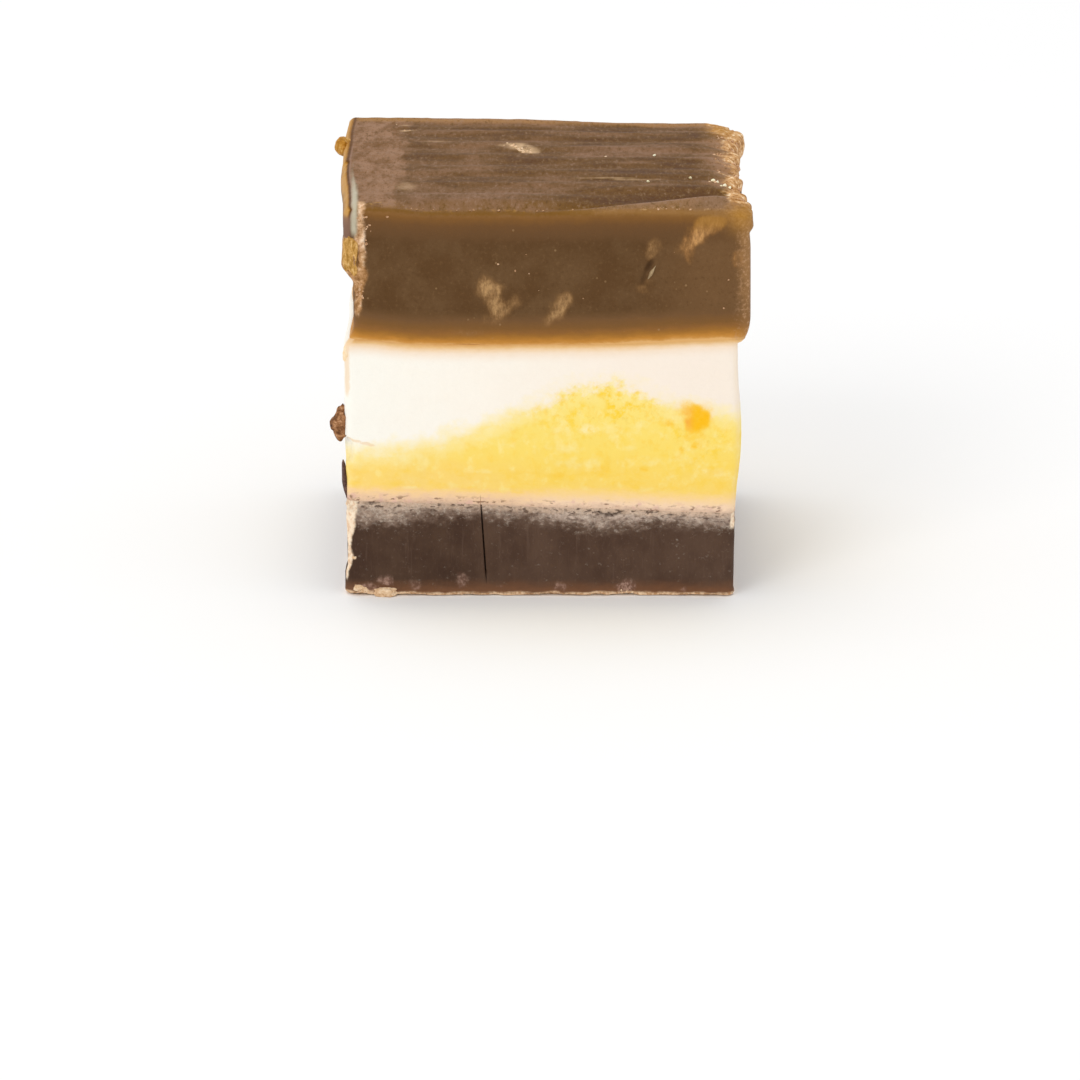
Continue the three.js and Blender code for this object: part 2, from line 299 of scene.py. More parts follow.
def top(x, y):
    """The poured top: drag wrinkles, the knife groove with its lip, and lower edges."""
    drift = 0.5 * np.sin(x / 8) + 0.35 * np.sin(x / 3.7 + y / 5)
    rows = turns(y + drift, 4.6) + 0.4 * turns(y - drift, 2)
    wrinkles = WRINKLE_HEIGHT * (0.35 + 0.65 * ease(x, -14, -7)) * rows
    behind = behind_groove(x, y)
    trough = bell(behind, 0, np.where(behind > 0, 2.6, 0.5))
    groove = groove_strength(x) * (LIP_HEIGHT * ease(-behind, 0, 1) - GROOVE_DEPTH * trough)
    rim = RIM_DROP * ease(x, HALF_WIDTH - 3.2, HALF_WIDTH) * (2 + turns(y, RIM_LUMP_PITCH)) / 3
    back_dip = BACK_DIP * ease(x, -6, 14) * ease(y, 8, 16)
    front_sag = FRONT_SAG * ease(x, -15.5, -9.5) * (1 - ease(y, -HALF_DEPTH, 3 - HALF_DEPTH))
    return HEIGHT + wrinkles + groove - rim - back_dip - front_sag


# ---- The upright cut faces ------------------------------------------------------------
def reach(name, along, span, z):
    """How far a cut face stands from the middle, at a place along it and a height."""
    face = FACES[name]
    share = ease(z, *LEFT_TURN) if name == "left" else 1
    turned = share * face["turn"] * ease(along, -span, face["turn_end"])
    belly = face["belly"] * bell(z, BELLY_HEIGHT, BELLY_SPREAD)
    roll = np.clip((z - MILK_SEAM_HEIGHT) / OVERHANG_RISE, 0, 1)
    overhang = face["overhang"] * np.sqrt(1 - (1 - roll) ** 2)
    waviness = WAVINESS * np.sin(along / 2.2 + z / 6 + face["phase"])
    out = face["flush"] + turned + belly + overhang + waviness
    for where, centre, height, long, tall, stands in FEATURES:
        if where == name:
            out = out + stands * plateau(along - centre, long) * plateau(z - height, tall)
    if name == "right":
        lumps = turns(along + 1.2, RIM_LUMP_PITCH)
        out = out + RIM_LUMP_SIZE * lumps * ease(z, HEIGHT - 4, HEIGHT - 0.6)
    return out


def sharp(x):
    """No rounding, where a layer lies on another."""
    return np.zeros_like(x)


def foot_radius(x):
    """How far the foot of the cube is rounded."""
    return np.full_like(x, FOOT_EDGE_RADIUS)


def top_radius(x):
    """How far the top edge is rounded, more so at the left, where it met the tin."""
    poured = 1 - ease(x, -16, -13)
    return TOP_EDGE_RADIUS + (POURED_EDGE_RADIUS - TOP_EDGE_RADIUS) * poured


class Shape:
    """Where the points of a layer lie, and how far each one is from what surrounds it."""

    def __init__(self, block, bottom, ceiling, under, upper, under_radius=sharp, upper_radius=sharp):
        """Bends the points of a plain block between two seams and the four cut faces."""
        nominal = read_points(block)
        across, deep = nominal[:, 0], nominal[:, 1]
        share_x = np.clip((across + HALF_WIDTH) / (2 * HALF_WIDTH), 0, 1)
        share_y = np.clip((deep + HALF_DEPTH) / (2 * HALF_DEPTH), 0, 1)
        share_z = np.clip((nominal[:, 2] - bottom) / (ceiling - bottom), 0, 1)
        low, high = under(across, deep), upper(across, deep)
        z = low + (high - low) * share_z
        left = reach("left", deep, HALF_DEPTH, z)
        right = reach("right", deep, HALF_DEPTH, z)
        front = reach("front", across, HALF_WIDTH, z)
        back = reach("back", across, HALF_WIDTH, z)
        x = -left + (left + right) * share_x
        y = -front + (front + back) * share_y

        self.left_front = (x < 0) & (y < 0)
        torn = self.left_front & (z > MILK_SEAM_HEIGHT + OVERHANG_RISE / 2)
        radius = np.where(torn, TORN_EDGE_RADIUS, UPRIGHT_EDGE_RADIUS)
        upper_half = z > (low + high) / 2
        edge_radius = np.where(upper_half, upper_radius(x), under_radius(x))
        self.to_side = np.minimum(x + left, right - x)
        self.to_front = y + front
        self.to_back = back - y
        self.to_top = high - z
        self.to_under = z - low
        to_cut = np.minimum(self.to_front, self.to_back)
        to_level = np.minimum(self.to_top, self.to_under)
        distances = np.stack([self.to_side, to_cut, to_level], axis=1)
        sizes = np.stack([radius, radius, edge_radius], axis=1)
        excess = np.where(sizes > 0, np.maximum(0, 1 - distances / np.maximum(sizes, TINY)), 0)
        pull = 1 - 1 / np.maximum(1, np.linalg.norm(excess, axis=1))
        outward = np.stack([np.sign(x), np.sign(y), np.where(upper_half, 1, -1)], axis=1)
        self.points = np.stack([x, y, z], axis=1) - excess * sizes * outward * pull[:, None]
        self.wall = np.minimum(self.to_side, to_cut)  # to the nearest cut face
        self.upright = np.maximum(self.to_side, to_cut)  # to the nearest upright edge
        self.front = 1 - ease(self.to_front, 0.2, 1.2)  # 1 on the front face
        self.on_wall = self.wall < TOUCHING
        self.on_bottom = self.to_under < TOUCHING
        self.on_seam = self.on_bottom & (under_radius is sharp)
        self.on_seam |= (self.to_top < TOUCHING) & (upper_radius is sharp)
        write_points(block, self.points)


# ---- Work on a mesh -------------------------------------------------------------------
def read_vectors(elements, name):
    """One vector for each of a mesh's points or faces."""
    flat = np.empty(len(elements) * 3, np.float32)
    elements.foreach_get(name, flat)
    return flat.reshape(-1, 3).astype(float)


def read_points(piece):
    """The points of a piece, in millimetres."""
    return read_vectors(piece.data.vertices, "co") / MM


def write_points(piece, points):
    piece.data.vertices.foreach_set("co", (points * MM).astype(np.float32).ravel())
    piece.data.update()


def wall_normals(piece):
    """At each point, the sum of the normals of the upright faces alone."""
    normals = read_vectors(piece.data.polygons, "normal")
    corners = np.empty(len(piece.data.loops), np.int32)
    piece.data.loops.foreach_get("vertex_index", corners)
    corners = corners.reshape(-1, 4)
    upright = np.abs(normals[:, 2]) < 0.5
    total = np.zeros((len(piece.data.vertices), 3))
    for column in corners[upright].T:
        np.add.at(total, column, normals[upright])
    return total


def store(piece, **fields):
    """Keeps a number for every point, which the material reads by its name."""
    for name, values in fields.items():
        attribute = piece.data.attributes.new(name, "FLOAT", "POINT")
        attribute.data.foreach_set("value", np.asarray(values, np.float32))


def cut_between(piece, axis, cuts, near=lambda middle: True):
    """Subdivides the edges that run along one axis, those near a place or all of them."""
    bpy.ops.object.mode_set(mode="EDIT")
    bpy.ops.mesh.select_all(action="DESELECT")
    mesh = bmesh.from_edit_mesh(piece.data)
    for edge in mesh.edges:
        run = edge.verts[1].co - edge.verts[0].co
        if abs(run[axis]) > 0.9 * run.length and near((edge.verts[0].co + edge.verts[1].co) / 2):
            edge.select_set(True)
    bmesh.update_edit_mesh(piece.data)
    bpy.ops.mesh.subdivide(number_cuts=cuts)
    bpy.ops.object.mode_set(mode="OBJECT")


def layer_block(name, bottom, ceiling, rows):
    """A box of one layer's size and place, cut into a fine grid of cells."""
    bpy.ops.object.select_all(action="DESELECT")
    size = (2 * HALF_WIDTH * MM, 2 * HALF_DEPTH * MM, (ceiling - bottom) * MM)
    middle = (0, 0, (bottom + ceiling) / 2 * MM)
    bpy.ops.mesh.primitive_cube_add(size=1, location=middle, scale=size)
    bpy.ops.object.transform_apply(location=True, rotation=True, scale=True)
    piece = bpy.context.object
    piece.name = name
    for axis, rounds in enumerate((CUTS_ACROSS, CUTS_DEEP, (rows - 1,))):
        for cuts in rounds:
            cut_between(piece, axis, cuts)
    return piece


def thin_hidden_side(piece, is_hidden):
    """The middle of a side that lies on another layer is never seen, so it gets few faces."""
    bpy.ops.object.mode_set(mode="EDIT")
    bpy.ops.mesh.select_mode(type="VERT")
    bpy.ops.mesh.select_all(action="DESELECT")
    mesh = bmesh.from_edit_mesh(piece.data)
    for vertex in mesh.verts:
        vertex.select_set(bool(is_hidden[vertex.index]))
    mesh.select_flush_mode()
    bmesh.update_edit_mesh(piece.data)
    bpy.ops.mesh.decimate(ratio=HIDDEN_FACES_KEPT)
    bpy.ops.mesh.select_mode(type="EDGE")
    bpy.ops.object.mode_set(mode="OBJECT")


def finish_piece(piece, material, node=None, smooth_up_to=LAYER_SMOOTHING):
    """Smooths a piece, gives it its material and its place in the frame."""
    bpy.ops.object.select_all(action="DESELECT")
    piece.select_set(True)
    bpy.context.view_layer.objects.active = piece
    bpy.ops.object.shade_smooth_by_angle(angle=math.radians(smooth_up_to))
    piece.data.materials.clear()
    piece.data.materials.append(material)
    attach(piece, "root")
    if node:
        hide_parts(node)


# ---- Finishes -------------------------------------------------------------------------
def colour(red, green, blue):
    """A colour as it looks on a screen, 0 to 255, as the shader wants it."""
    def linear(value):
        value /= 255
        return value / 12.92 if value <= 0.04045 else ((value + 0.055) / 1.055) ** 2.4
    return (linear(red), linear(green), linear(blue), 1)


class Finish:
    """A material, with short ways to add its nodes. Lengths are in millimetres."""

    def __init__(self, name, roughness, gloss=0.3):
        self.material = bpy.data.materials.new(name)
        self.material.use_nodes = True
        self.nodes = self.material.node_tree.nodes
        self.links = self.material.node_tree.links
        self.shader = self.nodes["Principled BSDF"]
        self.shader.inputs["Roughness"].default_value = roughness
        self.shader.inputs["Specular IOR Level"].default_value = gloss
        place = self.nodes.new("ShaderNodeTexCoord").outputs["Object"]
        self.place = self.vector("SCALE", place, scale=1 / MM)
        apart = self.nodes.new("ShaderNodeSeparateXYZ")
        self.put(apart.inputs[0], self.place)
        self.x, self.y, self.z = apart.outputs

    def put(self, socket, value):
        if isinstance(value, bpy.types.NodeSocket):
            self.links.new(value, socket)
        else:
            socket.default_value = value

    def vector(self, operation, first, second=None, scale=None):
        node = self.nodes.new("ShaderNodeVectorMath")
        node.operation = operation
        self.put(node.inputs[0], first)
        if second is not None:
            self.put(node.inputs[1], second)
        if scale is not None:
            self.put(node.inputs["Scale"], scale)
        return node.outputs[0]

    def field(self, name):
        node = self.nodes.new("ShaderNodeAttribute")
        node.attribute_name = name
        return node.outputs["Fac"]

    def maths(self, operation, first, second=0.0):
        node = self.nodes.new("ShaderNodeMath")
        node.operation = operation
        self.put(node.inputs[0], first)
        self.put(node.inputs[1], second)
        return node.outputs[0]

    def times(self, *values):
        product = values[0]
        for value in values[1:]:
            product = self.maths("MULTIPLY", product, value)
        return product

    def plus(self, *values):
        total = values[0]
        for value in values[1:]:
            total = self.maths("ADD", total, value)
        return total

    def step(self, value, low, high, bottom=0.0, ceiling=1.0):
        node = self.nodes.new("ShaderNodeMapRange")
        node.interpolation_type = "SMOOTHSTEP"
        if low > high:
            low, high, bottom, ceiling = high, low, ceiling, bottom
        for name, number in (("From Min", low), ("From Max", high), ("To Min", bottom), ("To Max", ceiling)):
            node.inputs[name].default_value = number
        self.put(node.inputs["Value"], value)
        return node.outputs["Result"]

    def spread(self, size, start):
        sizes = (size,) * 3 if isinstance(size, (int, float)) else size
        scaled = self.vector("MULTIPLY", self.place, tuple(1 / each for each in sizes))
        return self.vector("ADD", scaled, (start, start * 0.7, -start))

    def noise(self, size, detail=3.0, rough=0.55, start=0.0, wander=0.0):
        """Cloudy noise about 0.5; size is one length or one for each axis."""
        node = self.nodes.new("ShaderNodeTexNoise")
        self.put(node.inputs["Vector"], self.spread(size, start))
        node.inputs["Scale"].default_value = 1
        node.inputs["Detail"].default_value = detail
        node.inputs["Roughness"].default_value = rough
        node.inputs["Distortion"].default_value = wander
        return node.outputs["Fac"]

    def grains(self, size, start=0.0):
        """Distance from the middle of the nearest grain, as a share of size."""
        node = self.nodes.new("ShaderNodeTexVoronoi")
        self.put(node.inputs["Vector"], self.spread(size, start))
        node.inputs["Scale"].default_value = 1
        return node.outputs["Distance"]

    def signed(self, socket, strength):
        """Noise about 0.5 turned into a shift of up to about that strength either way."""
        return self.times(self.plus(socket, -0.5), 2 * strength)

    def ragged(self, name, size, strength, detail=3.0, start=0.0):
        """A stored field with its outlines frayed by noise."""
        return self.plus(self.field(name), self.signed(self.noise(size, detail, 0.62, start), strength))

    def gradient(self, value, stops):
        """Colours at given numbers, in rising order, blended between."""
        low, high = stops[0][0], stops[-1][0]
        node = self.nodes.new("ShaderNodeValToRGB")
        spread = self.nodes.new("ShaderNodeMapRange")
        spread.inputs["From Min"].default_value = low
        spread.inputs["From Max"].default_value = high
        self.put(spread.inputs["Value"], value)
        self.put(node.inputs["Fac"], spread.outputs["Result"])
        marks = node.color_ramp.elements
        while len(marks) < len(stops):
            marks.new(0.5)
        for mark, (number, tint) in zip(marks, stops):
            mark.position = (number - low) / (high - low)
            mark.color = colour(*tint)
        return node.outputs["Color"]

    def blend(self, share, first, second):
        node = self.nodes.new("ShaderNodeMix")
        node.data_type = "RGBA"
        self.put(node.inputs["Factor"], share)
        for socket, tint in ((node.inputs[6], first), (node.inputs[7], second)):
            self.put(socket, colour(*tint) if isinstance(tint, tuple) and len(tint) == 3 else tint)
        return node.outputs[2]

    def mottle(self, tint, value, *coats):
        """Coats where a noise is high or low: the two limits, the strength and the colour."""
        for start, end, strength, coat in coats:
            tint = self.blend(self.step(value, start, end, 0, strength), tint, coat)
        return tint

    def emboss(self, *reliefs):
        """Bump from pairs of a height and its depth in millimetres."""
        normal = None
        for height, depth in reliefs:
            node = self.nodes.new("ShaderNodeBump")
            node.inputs["Distance"].default_value = depth * MM
            self.put(node.inputs["Height"], height)
            if normal is not None:
                self.put(node.inputs["Normal"], normal)
            normal = node.outputs["Normal"]
        self.put(self.shader.inputs["Normal"], normal)

    def paint(self, tint, roughness=None, sheen=0.01):
        """Sets the colour, less the grey that the surface's own sheen adds to it."""
        veil = self.vector("SCALE", (1, 1, 1), scale=sheen)
        cleared = self.vector("SUBTRACT", tint, veil)
        least = self.vector("SCALE", tint, scale=0.2)
        self.put(self.shader.inputs["Base Color"], self.vector("MAXIMUM", cleared, least))
        if roughness is not None:
            self.put(self.shader.inputs["Roughness"], roughness)
        return self.material


def crack_line(f):
    """Where the shade of a hairline crack down the front, about a tenth of a millimetre wide, is painted."""
    top_height, foot_height = CRACK_TOP[1], CRACK_FOOT[1]
    lean = (CRACK_FOOT[0] - CRACK_TOP[0]) / (foot_height - top_height)
    straight = f.plus(f.times(f.plus(f.z, -top_height), lean), CRACK_TOP[0])
    wander = f.signed(f.noise((60, 60, 0.8), start=71), 0.07)
    off = f.maths("ABSOLUTE", f.plus(f.x, f.times(straight, -1), wander))
    thick = f.step(f.z, top_height, top_height - 3, 0.01, 0.022)
    line = f.step(f.plus(off, f.times(thick, -1)), 0.035, -0.015)
    fades_up = f.step(f.z, top_height + 0.1, top_height - 0.5)
    fades_down = f.step(f.z, foot_height - 0.2, foot_height + 0.8)
    return f.times(line, fades_up, fades_down, f.field("front"))


def dark_pits(f):
    """Small dark pits, lying along the top of the dark chocolate."""
    near = f.ragged("above_dark_seam", (2.2, 2.2, 1), 0.3, start=63)
    band = f.times(f.step(near, 0.9, 0.2), f.step(near, -1.3, -0.5))
    pits = f.noise((0.62, 0.62, 0.28), detail=2, rough=0.5, start=27)
    return f.times(band, f.step(pits, 0.57, 0.69))


def dark_seam_grain(f):
    """Fine grain that runs on through both sides of the dark seam."""
    return f.noise((0.36, 0.36, 0.26), detail=4, rough=0.7, start=71)


def smudges(f, body, wisps):
    """Tan smears on the front; the one by the right corner is more golden."""
    cloud = f.plus(f.field("smudge"), f.signed(wisps, 0.55))
    streaky = f.step(f.noise((0.22, 0.22, 0.5), detail=4, rough=0.65, start=50), 0.36, 0.6, 0.5, 0.95)
    tan = f.blend(f.step(cloud, 0.5, 1.1), (146, 108, 68), (188, 148, 100))
    right_tan = f.blend(f.step(cloud, 0.4, 1.1), (168, 118, 66), (208, 156, 98))
    at_right = f.step(f.x, 11, 12.5)
    tan = f.blend(at_right, tan, right_tan)
    body = f.blend(f.times(f.step(cloud, 0.08, 1.1), streaky), body, tan)
    golden = f.times(f.step(cloud, 0.0, 0.8), f.step(f.z, 33.6, 35.0), at_right, 0.8)
    return f.blend(golden, body, (160, 114, 52))


def milk_chocolate_front(f, fine):
    """The cut milk chocolate: warm along the rim, with a partly painted glow along the seam, smudged and
    speckled.
    """
    cloudy = f.noise(3.2, detail=4)
    body = f.blend(f.step(cloudy, 0.35, 0.68), (94, 67, 41), (105, 78, 51))
    body = f.blend(f.times(f.field("right_share"), 0.85), body, (116, 85, 55))
    body = f.mottle(body, fine, (0.53, 0.76, 0.3, (136, 103, 68)), (0.46, 0.28, 0.3, (78, 55, 33)))

    rim = f.ragged("to_rim", 1.2, 0.32, start=3)
    warmth = f.gradient(rim, [
        (0.0, (146, 106, 62)), (0.25, (140, 99, 54)), (0.7, (127, 88, 47)), (1.3, (112, 79, 48)),
        (2.0, (106, 76, 48)), (2.8, (103, 74, 47))])
    body = f.blend(f.step(rim, 3.2, 2.0), body, warmth)

    # Partly painted glow: the brown thins out over the white fudge along the seam, and the light coming up
    # through it is painted in too.
    seam = f.plus(f.ragged("above_milk_seam", (1.8, 1.8, 0.8), 0.3, start=21), f.step(f.x, 0, 9, 0, -0.24))
    glow = f.gradient(seam, [
        (-0.05, (226, 176, 112)), (0.12, (204, 146, 74)), (0.3, (192, 132, 58)), (0.56, (172, 118, 52)),
        (0.85, (154, 106, 50)), (1.15, (141, 97, 52)), (1.5, (128, 90, 50)), (2.3, (116, 84, 54)),
        (3.3, (104, 77, 48))])
    body = f.blend(f.step(seam, 3.3, 2.1), body, glow)

    wisps = f.noise((0.4, 0.4, 0.7), detail=5, rough=0.68, start=5, wander=0.3)
    body = smudges(f, body, wisps)
    stray = f.plus(f.step(f.noise(2.4, detail=2, start=31), 0.64, 0.78), f.signed(wisps, 0.6))
    body = f.blend(f.step(stray, 0.62, 1.1, 0, 0.35), body, (156, 118, 78))
    specks = f.times(f.step(f.grains(0.9, start=2), 0.15, 0.07), f.step(f.noise(3.4, start=15), 0.54, 0.66))
    body = f.blend(f.times(specks, 0.45), body, (170, 136, 96))

    worn = f.step(f.ragged("right_edge", 0.8, 0.3, start=36), 0.3, 1.1)
    strength = f.plus(0.4, f.step(f.z, 25, 32, 0, 0.4))
    body = f.blend(f.times(worn, strength), body, (166, 124, 80))
    sandy = f.step(f.noise(0.3, detail=3, rough=0.7, start=35), 0.48, 0.66)
    edge = f.step(f.ragged("right_edge", 1.2, 0.3, start=36), 0.15, 1.0)
    return f.blend(f.times(sandy, edge, 0.6), body, (196, 154, 116))


def top_skin(f, mottled):
    """The poured skin of the top: smooth at the left, browner in bands at the front and back."""
    cloudy = f.noise((5, 2.6, 2), detail=4, rough=0.6, start=76, wander=0.4)
    skin = f.blend(f.step(cloudy, 0.34, 0.66), (107, 78, 46), (134, 101, 74))
    smooth = f.blend(f.step(mottled, 0.36, 0.64), (128, 93, 62), (164, 127, 100))
    skin = f.blend(f.times(f.field("smooth_patch"), 0.85), skin, smooth)
    front_band = f.step(f.ragged("front_band", 1.3, 0.3, start=39), 0.2, 0.8, 0, 0.8)
    skin = f.blend(front_band, skin, (124, 91, 48))
    back_band = f.step(f.ragged("back_band", 1.6, 0.25, start=62), 0.15, 0.85, 0, 0.85)
    skin = f.blend(back_band, skin, (170, 126, 76))
    # Painted sheen towards the back of the top.
    back_sheen = f.times(f.step(f.y, 10.5, 14.5, 0, 0.32), f.step(f.x, -13, -9))
    skin = f.blend(back_sheen, skin, (164, 126, 98))
    skin = f.blend(f.times(f.field("rim_glow"), 0.6), skin, (184, 142, 108))
    worn = f.times(f.step(f.y, -8.8, -11.4), f.step(f.x, 4, -2), f.step(f.x, -13, -11))
    return f.blend(f.times(worn, f.step(mottled, 0.3, 0.6, 0.2, 0.7)), skin, (148, 114, 90))


def top_drags(f, skin, mottled):
    """Painted highlights on the waves and painted shade in the creases dragged from left to right, painted
    shade in the groove, and its lip with a painted highlight on the crest.
    """
    drag = f.field("drag")
    wave = f.plus(f.field("drag_wave"), f.signed(f.noise((3, 1.2, 0.6), detail=3, start=17), 0.2))
    # Painted highlights on the crests of the drag waves.
    skin = f.blend(f.times(f.step(wave, 0.15, 0.6), drag, 0.35), skin, (150, 116, 94))
    # Painted shade in the creases between the waves, which are also pressed in a little.
    crease = f.step(f.maths("ABSOLUTE", wave), 0.46, 0.02)
    skin = f.blend(f.times(crease, drag, 0.5), skin, (92, 66, 26))
    # Painted shade in the trough behind the lip and in the old crease.
    skin = f.blend(f.times(f.field("groove"), 0.85), skin, (94, 67, 22))
    lip = f.blend(f.step(mottled, 0.4, 0.62), (138, 104, 68), (156, 119, 86))
    lip = f.blend(f.step(f.x, 11, 15, 0, 0.6), lip, (140, 112, 92))
    skin = f.blend(f.times(f.field("lip"), 0.85), skin, lip)
    # Painted highlight along the crest of the lip.
    return f.blend(f.times(f.field("lip_crest"), 0.7), skin, (166, 136, 118))


def milk_chocolate_top(f):
    """The poured top: paler and greyer than the cuts."""
    mottled = f.noise((1.2, 3.2, 1.5), detail=4, rough=0.6, start=4)
    skin = top_drags(f, top_skin(f, mottled), mottled)
    sandy = f.noise((0.3, 0.85, 0.3), detail=3, rough=0.7, start=33)
    skin = f.mottle(skin, sandy, (0.52, 0.72, 0.55, (156, 127, 106)), (0.48, 0.3, 0.55, (88, 64, 26)))
    wisps = f.step(f.noise((0.7, 0.9, 0.3), detail=4, rough=0.65, start=43), 0.34, 0.54, 0.45, 1)
    skin = f.blend(f.times(f.field("top_streak"), wisps, 0.9), skin, (208, 174, 136))
    crumbs = f.times(f.step(f.noise(0.42, detail=4, rough=0.7, start=61), 0.5, 0.64),
                     f.step(f.noise(1.7, detail=2, start=64), 0.42, 0.58, 0.15, 1))
    grit = f.blend(f.step(f.x, 2, 9), (176, 134, 78), (206, 168, 124))
    skin = f.blend(f.times(crumbs, f.field("front_crumbs"), 0.85), skin, grit)
    rim = f.blend(f.step(f.x, 0, 7), (126, 91, 48), (152, 113, 70))
    return f.blend(f.step(f.ragged("to_rim", 0.9, 0.3, start=3), 0.9, 0.1, 0, 0.8), skin, rim)


def torn_milk_chocolate(f, crumbly):
    """Torn and crumbled places: tan low down, pinkish at the top left, sunny at the right, each running from
    painted shade in the hollows to painted highlights on the grains.
    """
    tan = f.gradient(crumbly, [
        (0.3, (124, 86, 50)), (0.44, (164, 120, 76)), (0.56, (196, 150, 106)), (0.68, (230, 194, 154))])
    pinkish = f.gradient(crumbly, [
        (0.3, (158, 116, 78)), (0.42, (202, 160, 120)), (0.54, (230, 190, 152)), (0.66, (252, 224, 194))])
    sunny = f.gradient(crumbly, [
        (0.3, (138, 96, 56)), (0.42, (186, 138, 92)), (0.54, (220, 173, 122)), (0.66, (254, 228, 190))])
    high = f.blend(f.step(f.x, -2, 2), pinkish, sunny)
    return f.blend(f.step(f.z, 31.5, 33.5), tan, high)


def milk_chocolate_finish():
    f = Finish("milk_chocolate", roughness=0.6, gloss=0.16)
    fine = f.noise(0.32, detail=4, rough=0.65, start=9)
    on_top = f.field("on_top")
    body = f.blend(on_top, milk_chocolate_front(f, fine), milk_chocolate_top(f))

    # The poured left edge: ochre outside, then painted shade in a crease and a pinkish line
    edge = f.gradient(f.ragged("from_left", (0.6, 2.5, 1.5), 0.07, start=58), [
        (0.0, (204, 156, 92)), (0.24, (176, 126, 64)), (0.46, (104, 72, 46)), (0.6, (106, 76, 54)),
        (0.76, (158, 126, 108)), (0.95, (148, 114, 92))])
    body = f.blend(f.times(f.field("poured_edge"), 0.9), body, edge)
    body = f.blend(f.times(f.field("under_rim"), 0.8), body, (138, 106, 90))

    crumbly = f.noise(0.5, detail=4, rough=0.66, start=2)
    torn = f.step(f.ragged("torn", 0.6, 0.55, start=8), 0.25, 0.95)
    body = f.blend(torn, body, torn_milk_chocolate(f, crumbly))
    golden = f.blend(f.step(fine, 0.3, 0.7), (170, 122, 56), (194, 144, 78))
    body = f.blend(f.times(f.field("golden"), 0.85), body, golden)
    # Painted highlight: a pale streak along the poured left edge, which is also less rough there.
    gleam = f.step(f.ragged("gleam", (0.4, 2.0, 1.2), 0.26, start=48), 0.1, 1.05)
    body = f.blend(f.times(gleam, 0.95), body, (196, 188, 164))
    # Painted shade in the pit and beside the torn flake, which are also sunk in a little.
    body = f.blend(f.times(f.field("hollow"), 0.75), body, (66, 45, 28))

    rough = f.plus(f.step(fine, 0.35, 0.65, 0.64, 0.54), f.times(torn, 0.25), f.times(gleam, -0.15))
    scored = f.times(f.noise((0.6, 1.2, 0.5), detail=3, start=18), on_top)
    f.emboss((f.noise(1.1, detail=4, start=70), 0.04), (fine, 0.035), (scored, 0.04),
             (f.times(crumbly, torn), 0.1))
    return f.paint(body, rough, f.plus(f.times(on_top, 0.02), 0.01))


def white_fudge(f, broad):
    """Cream, warmer towards the right, and stained brown under the milk chocolate."""
    white = f.gradient(f.plus(f.x, f.signed(broad, 4)), [
        (-18, (253, 250, 240)), (-4, (253, 245, 232)), (8, (252, 239, 224)), (18, (250, 237, 222))])
    seam = f.plus(f.ragged("above_milk_seam", (1.4, 1.4, 0.6), 0.16, start=6), f.step(f.x, 0, 9, 0, -0.14))
    brown = f.gradient(seam, [
        (-2.0, (251, 238, 224)), (-0.85, (248, 226, 201)), (-0.56, (244, 213, 174)),
        (-0.28, (230, 186, 126)), (0.0, (210, 154, 86))])
    return f.blend(f.times(f.step(seam, -2.0, -0.6), f.field("seam_stain")), white, brown)


def yellow_fudge(f, broad, fine, flecks):
    """Paler with height and richest in the flecks over the hump."""
    height = f.plus(f.z, f.signed(broad, 1.2))
    hump = f.field("hump")
    yellow = f.gradient(height, [
        (9.5, (253, 216, 112)), (11.5, (254, 219, 104)), (13.5, (254, 223, 108)),
        (16.5, (254, 227, 118)), (20.0, (253, 231, 138))])
    low_left = f.times(f.step(f.x, 2, -10), f.step(height, 14.5, 10.5), 0.7)
    yellow = f.blend(low_left, yellow, (253, 216, 126))
    blotch = f.noise((1.1, 1.1, 1.5), detail=4, rough=0.6, start=38)
    yellow = f.mottle(yellow, blotch, (0.54, 0.72, 0.5, (255, 236, 158)), (0.46, 0.3, 0.55, (254, 213, 82)))
    soft = f.step(f.plus(f.field("pale_spot"), f.signed(fine, 0.5)), 0.2, 1.2, 0, 0.7)
    yellow = f.blend(soft, yellow, (255, 240, 184))
    pale = f.step(f.noise((1.5, 1.5, 1.3), detail=3, rough=0.5, start=23), 0.5, 0.74, 0, 0.6)
    yellow = f.blend(pale, yellow, (254, 235, 160))
    patches = f.step(f.noise((1.8, 1.8, 1.0), detail=4, start=24), 0.48, 0.66)
    yellow = f.blend(f.times(patches, f.step(height, 13.5, 10.5), 0.6), yellow, (253, 211, 84))
    flocks = f.step(f.noise(2.4, detail=2, start=42), 0.34, 0.56)
    rich = f.times(f.step(flecks, 0.44, 0.66), f.plus(f.times(hump, flocks), 0.14))
    yellow = f.blend(rich, yellow, (254, 212, 52))
    shade = f.step(f.noise(0.5, detail=4, rough=0.65, start=45), 0.56, 0.7)
    return f.blend(f.times(shade, hump, 0.4), yellow, (236, 196, 70))


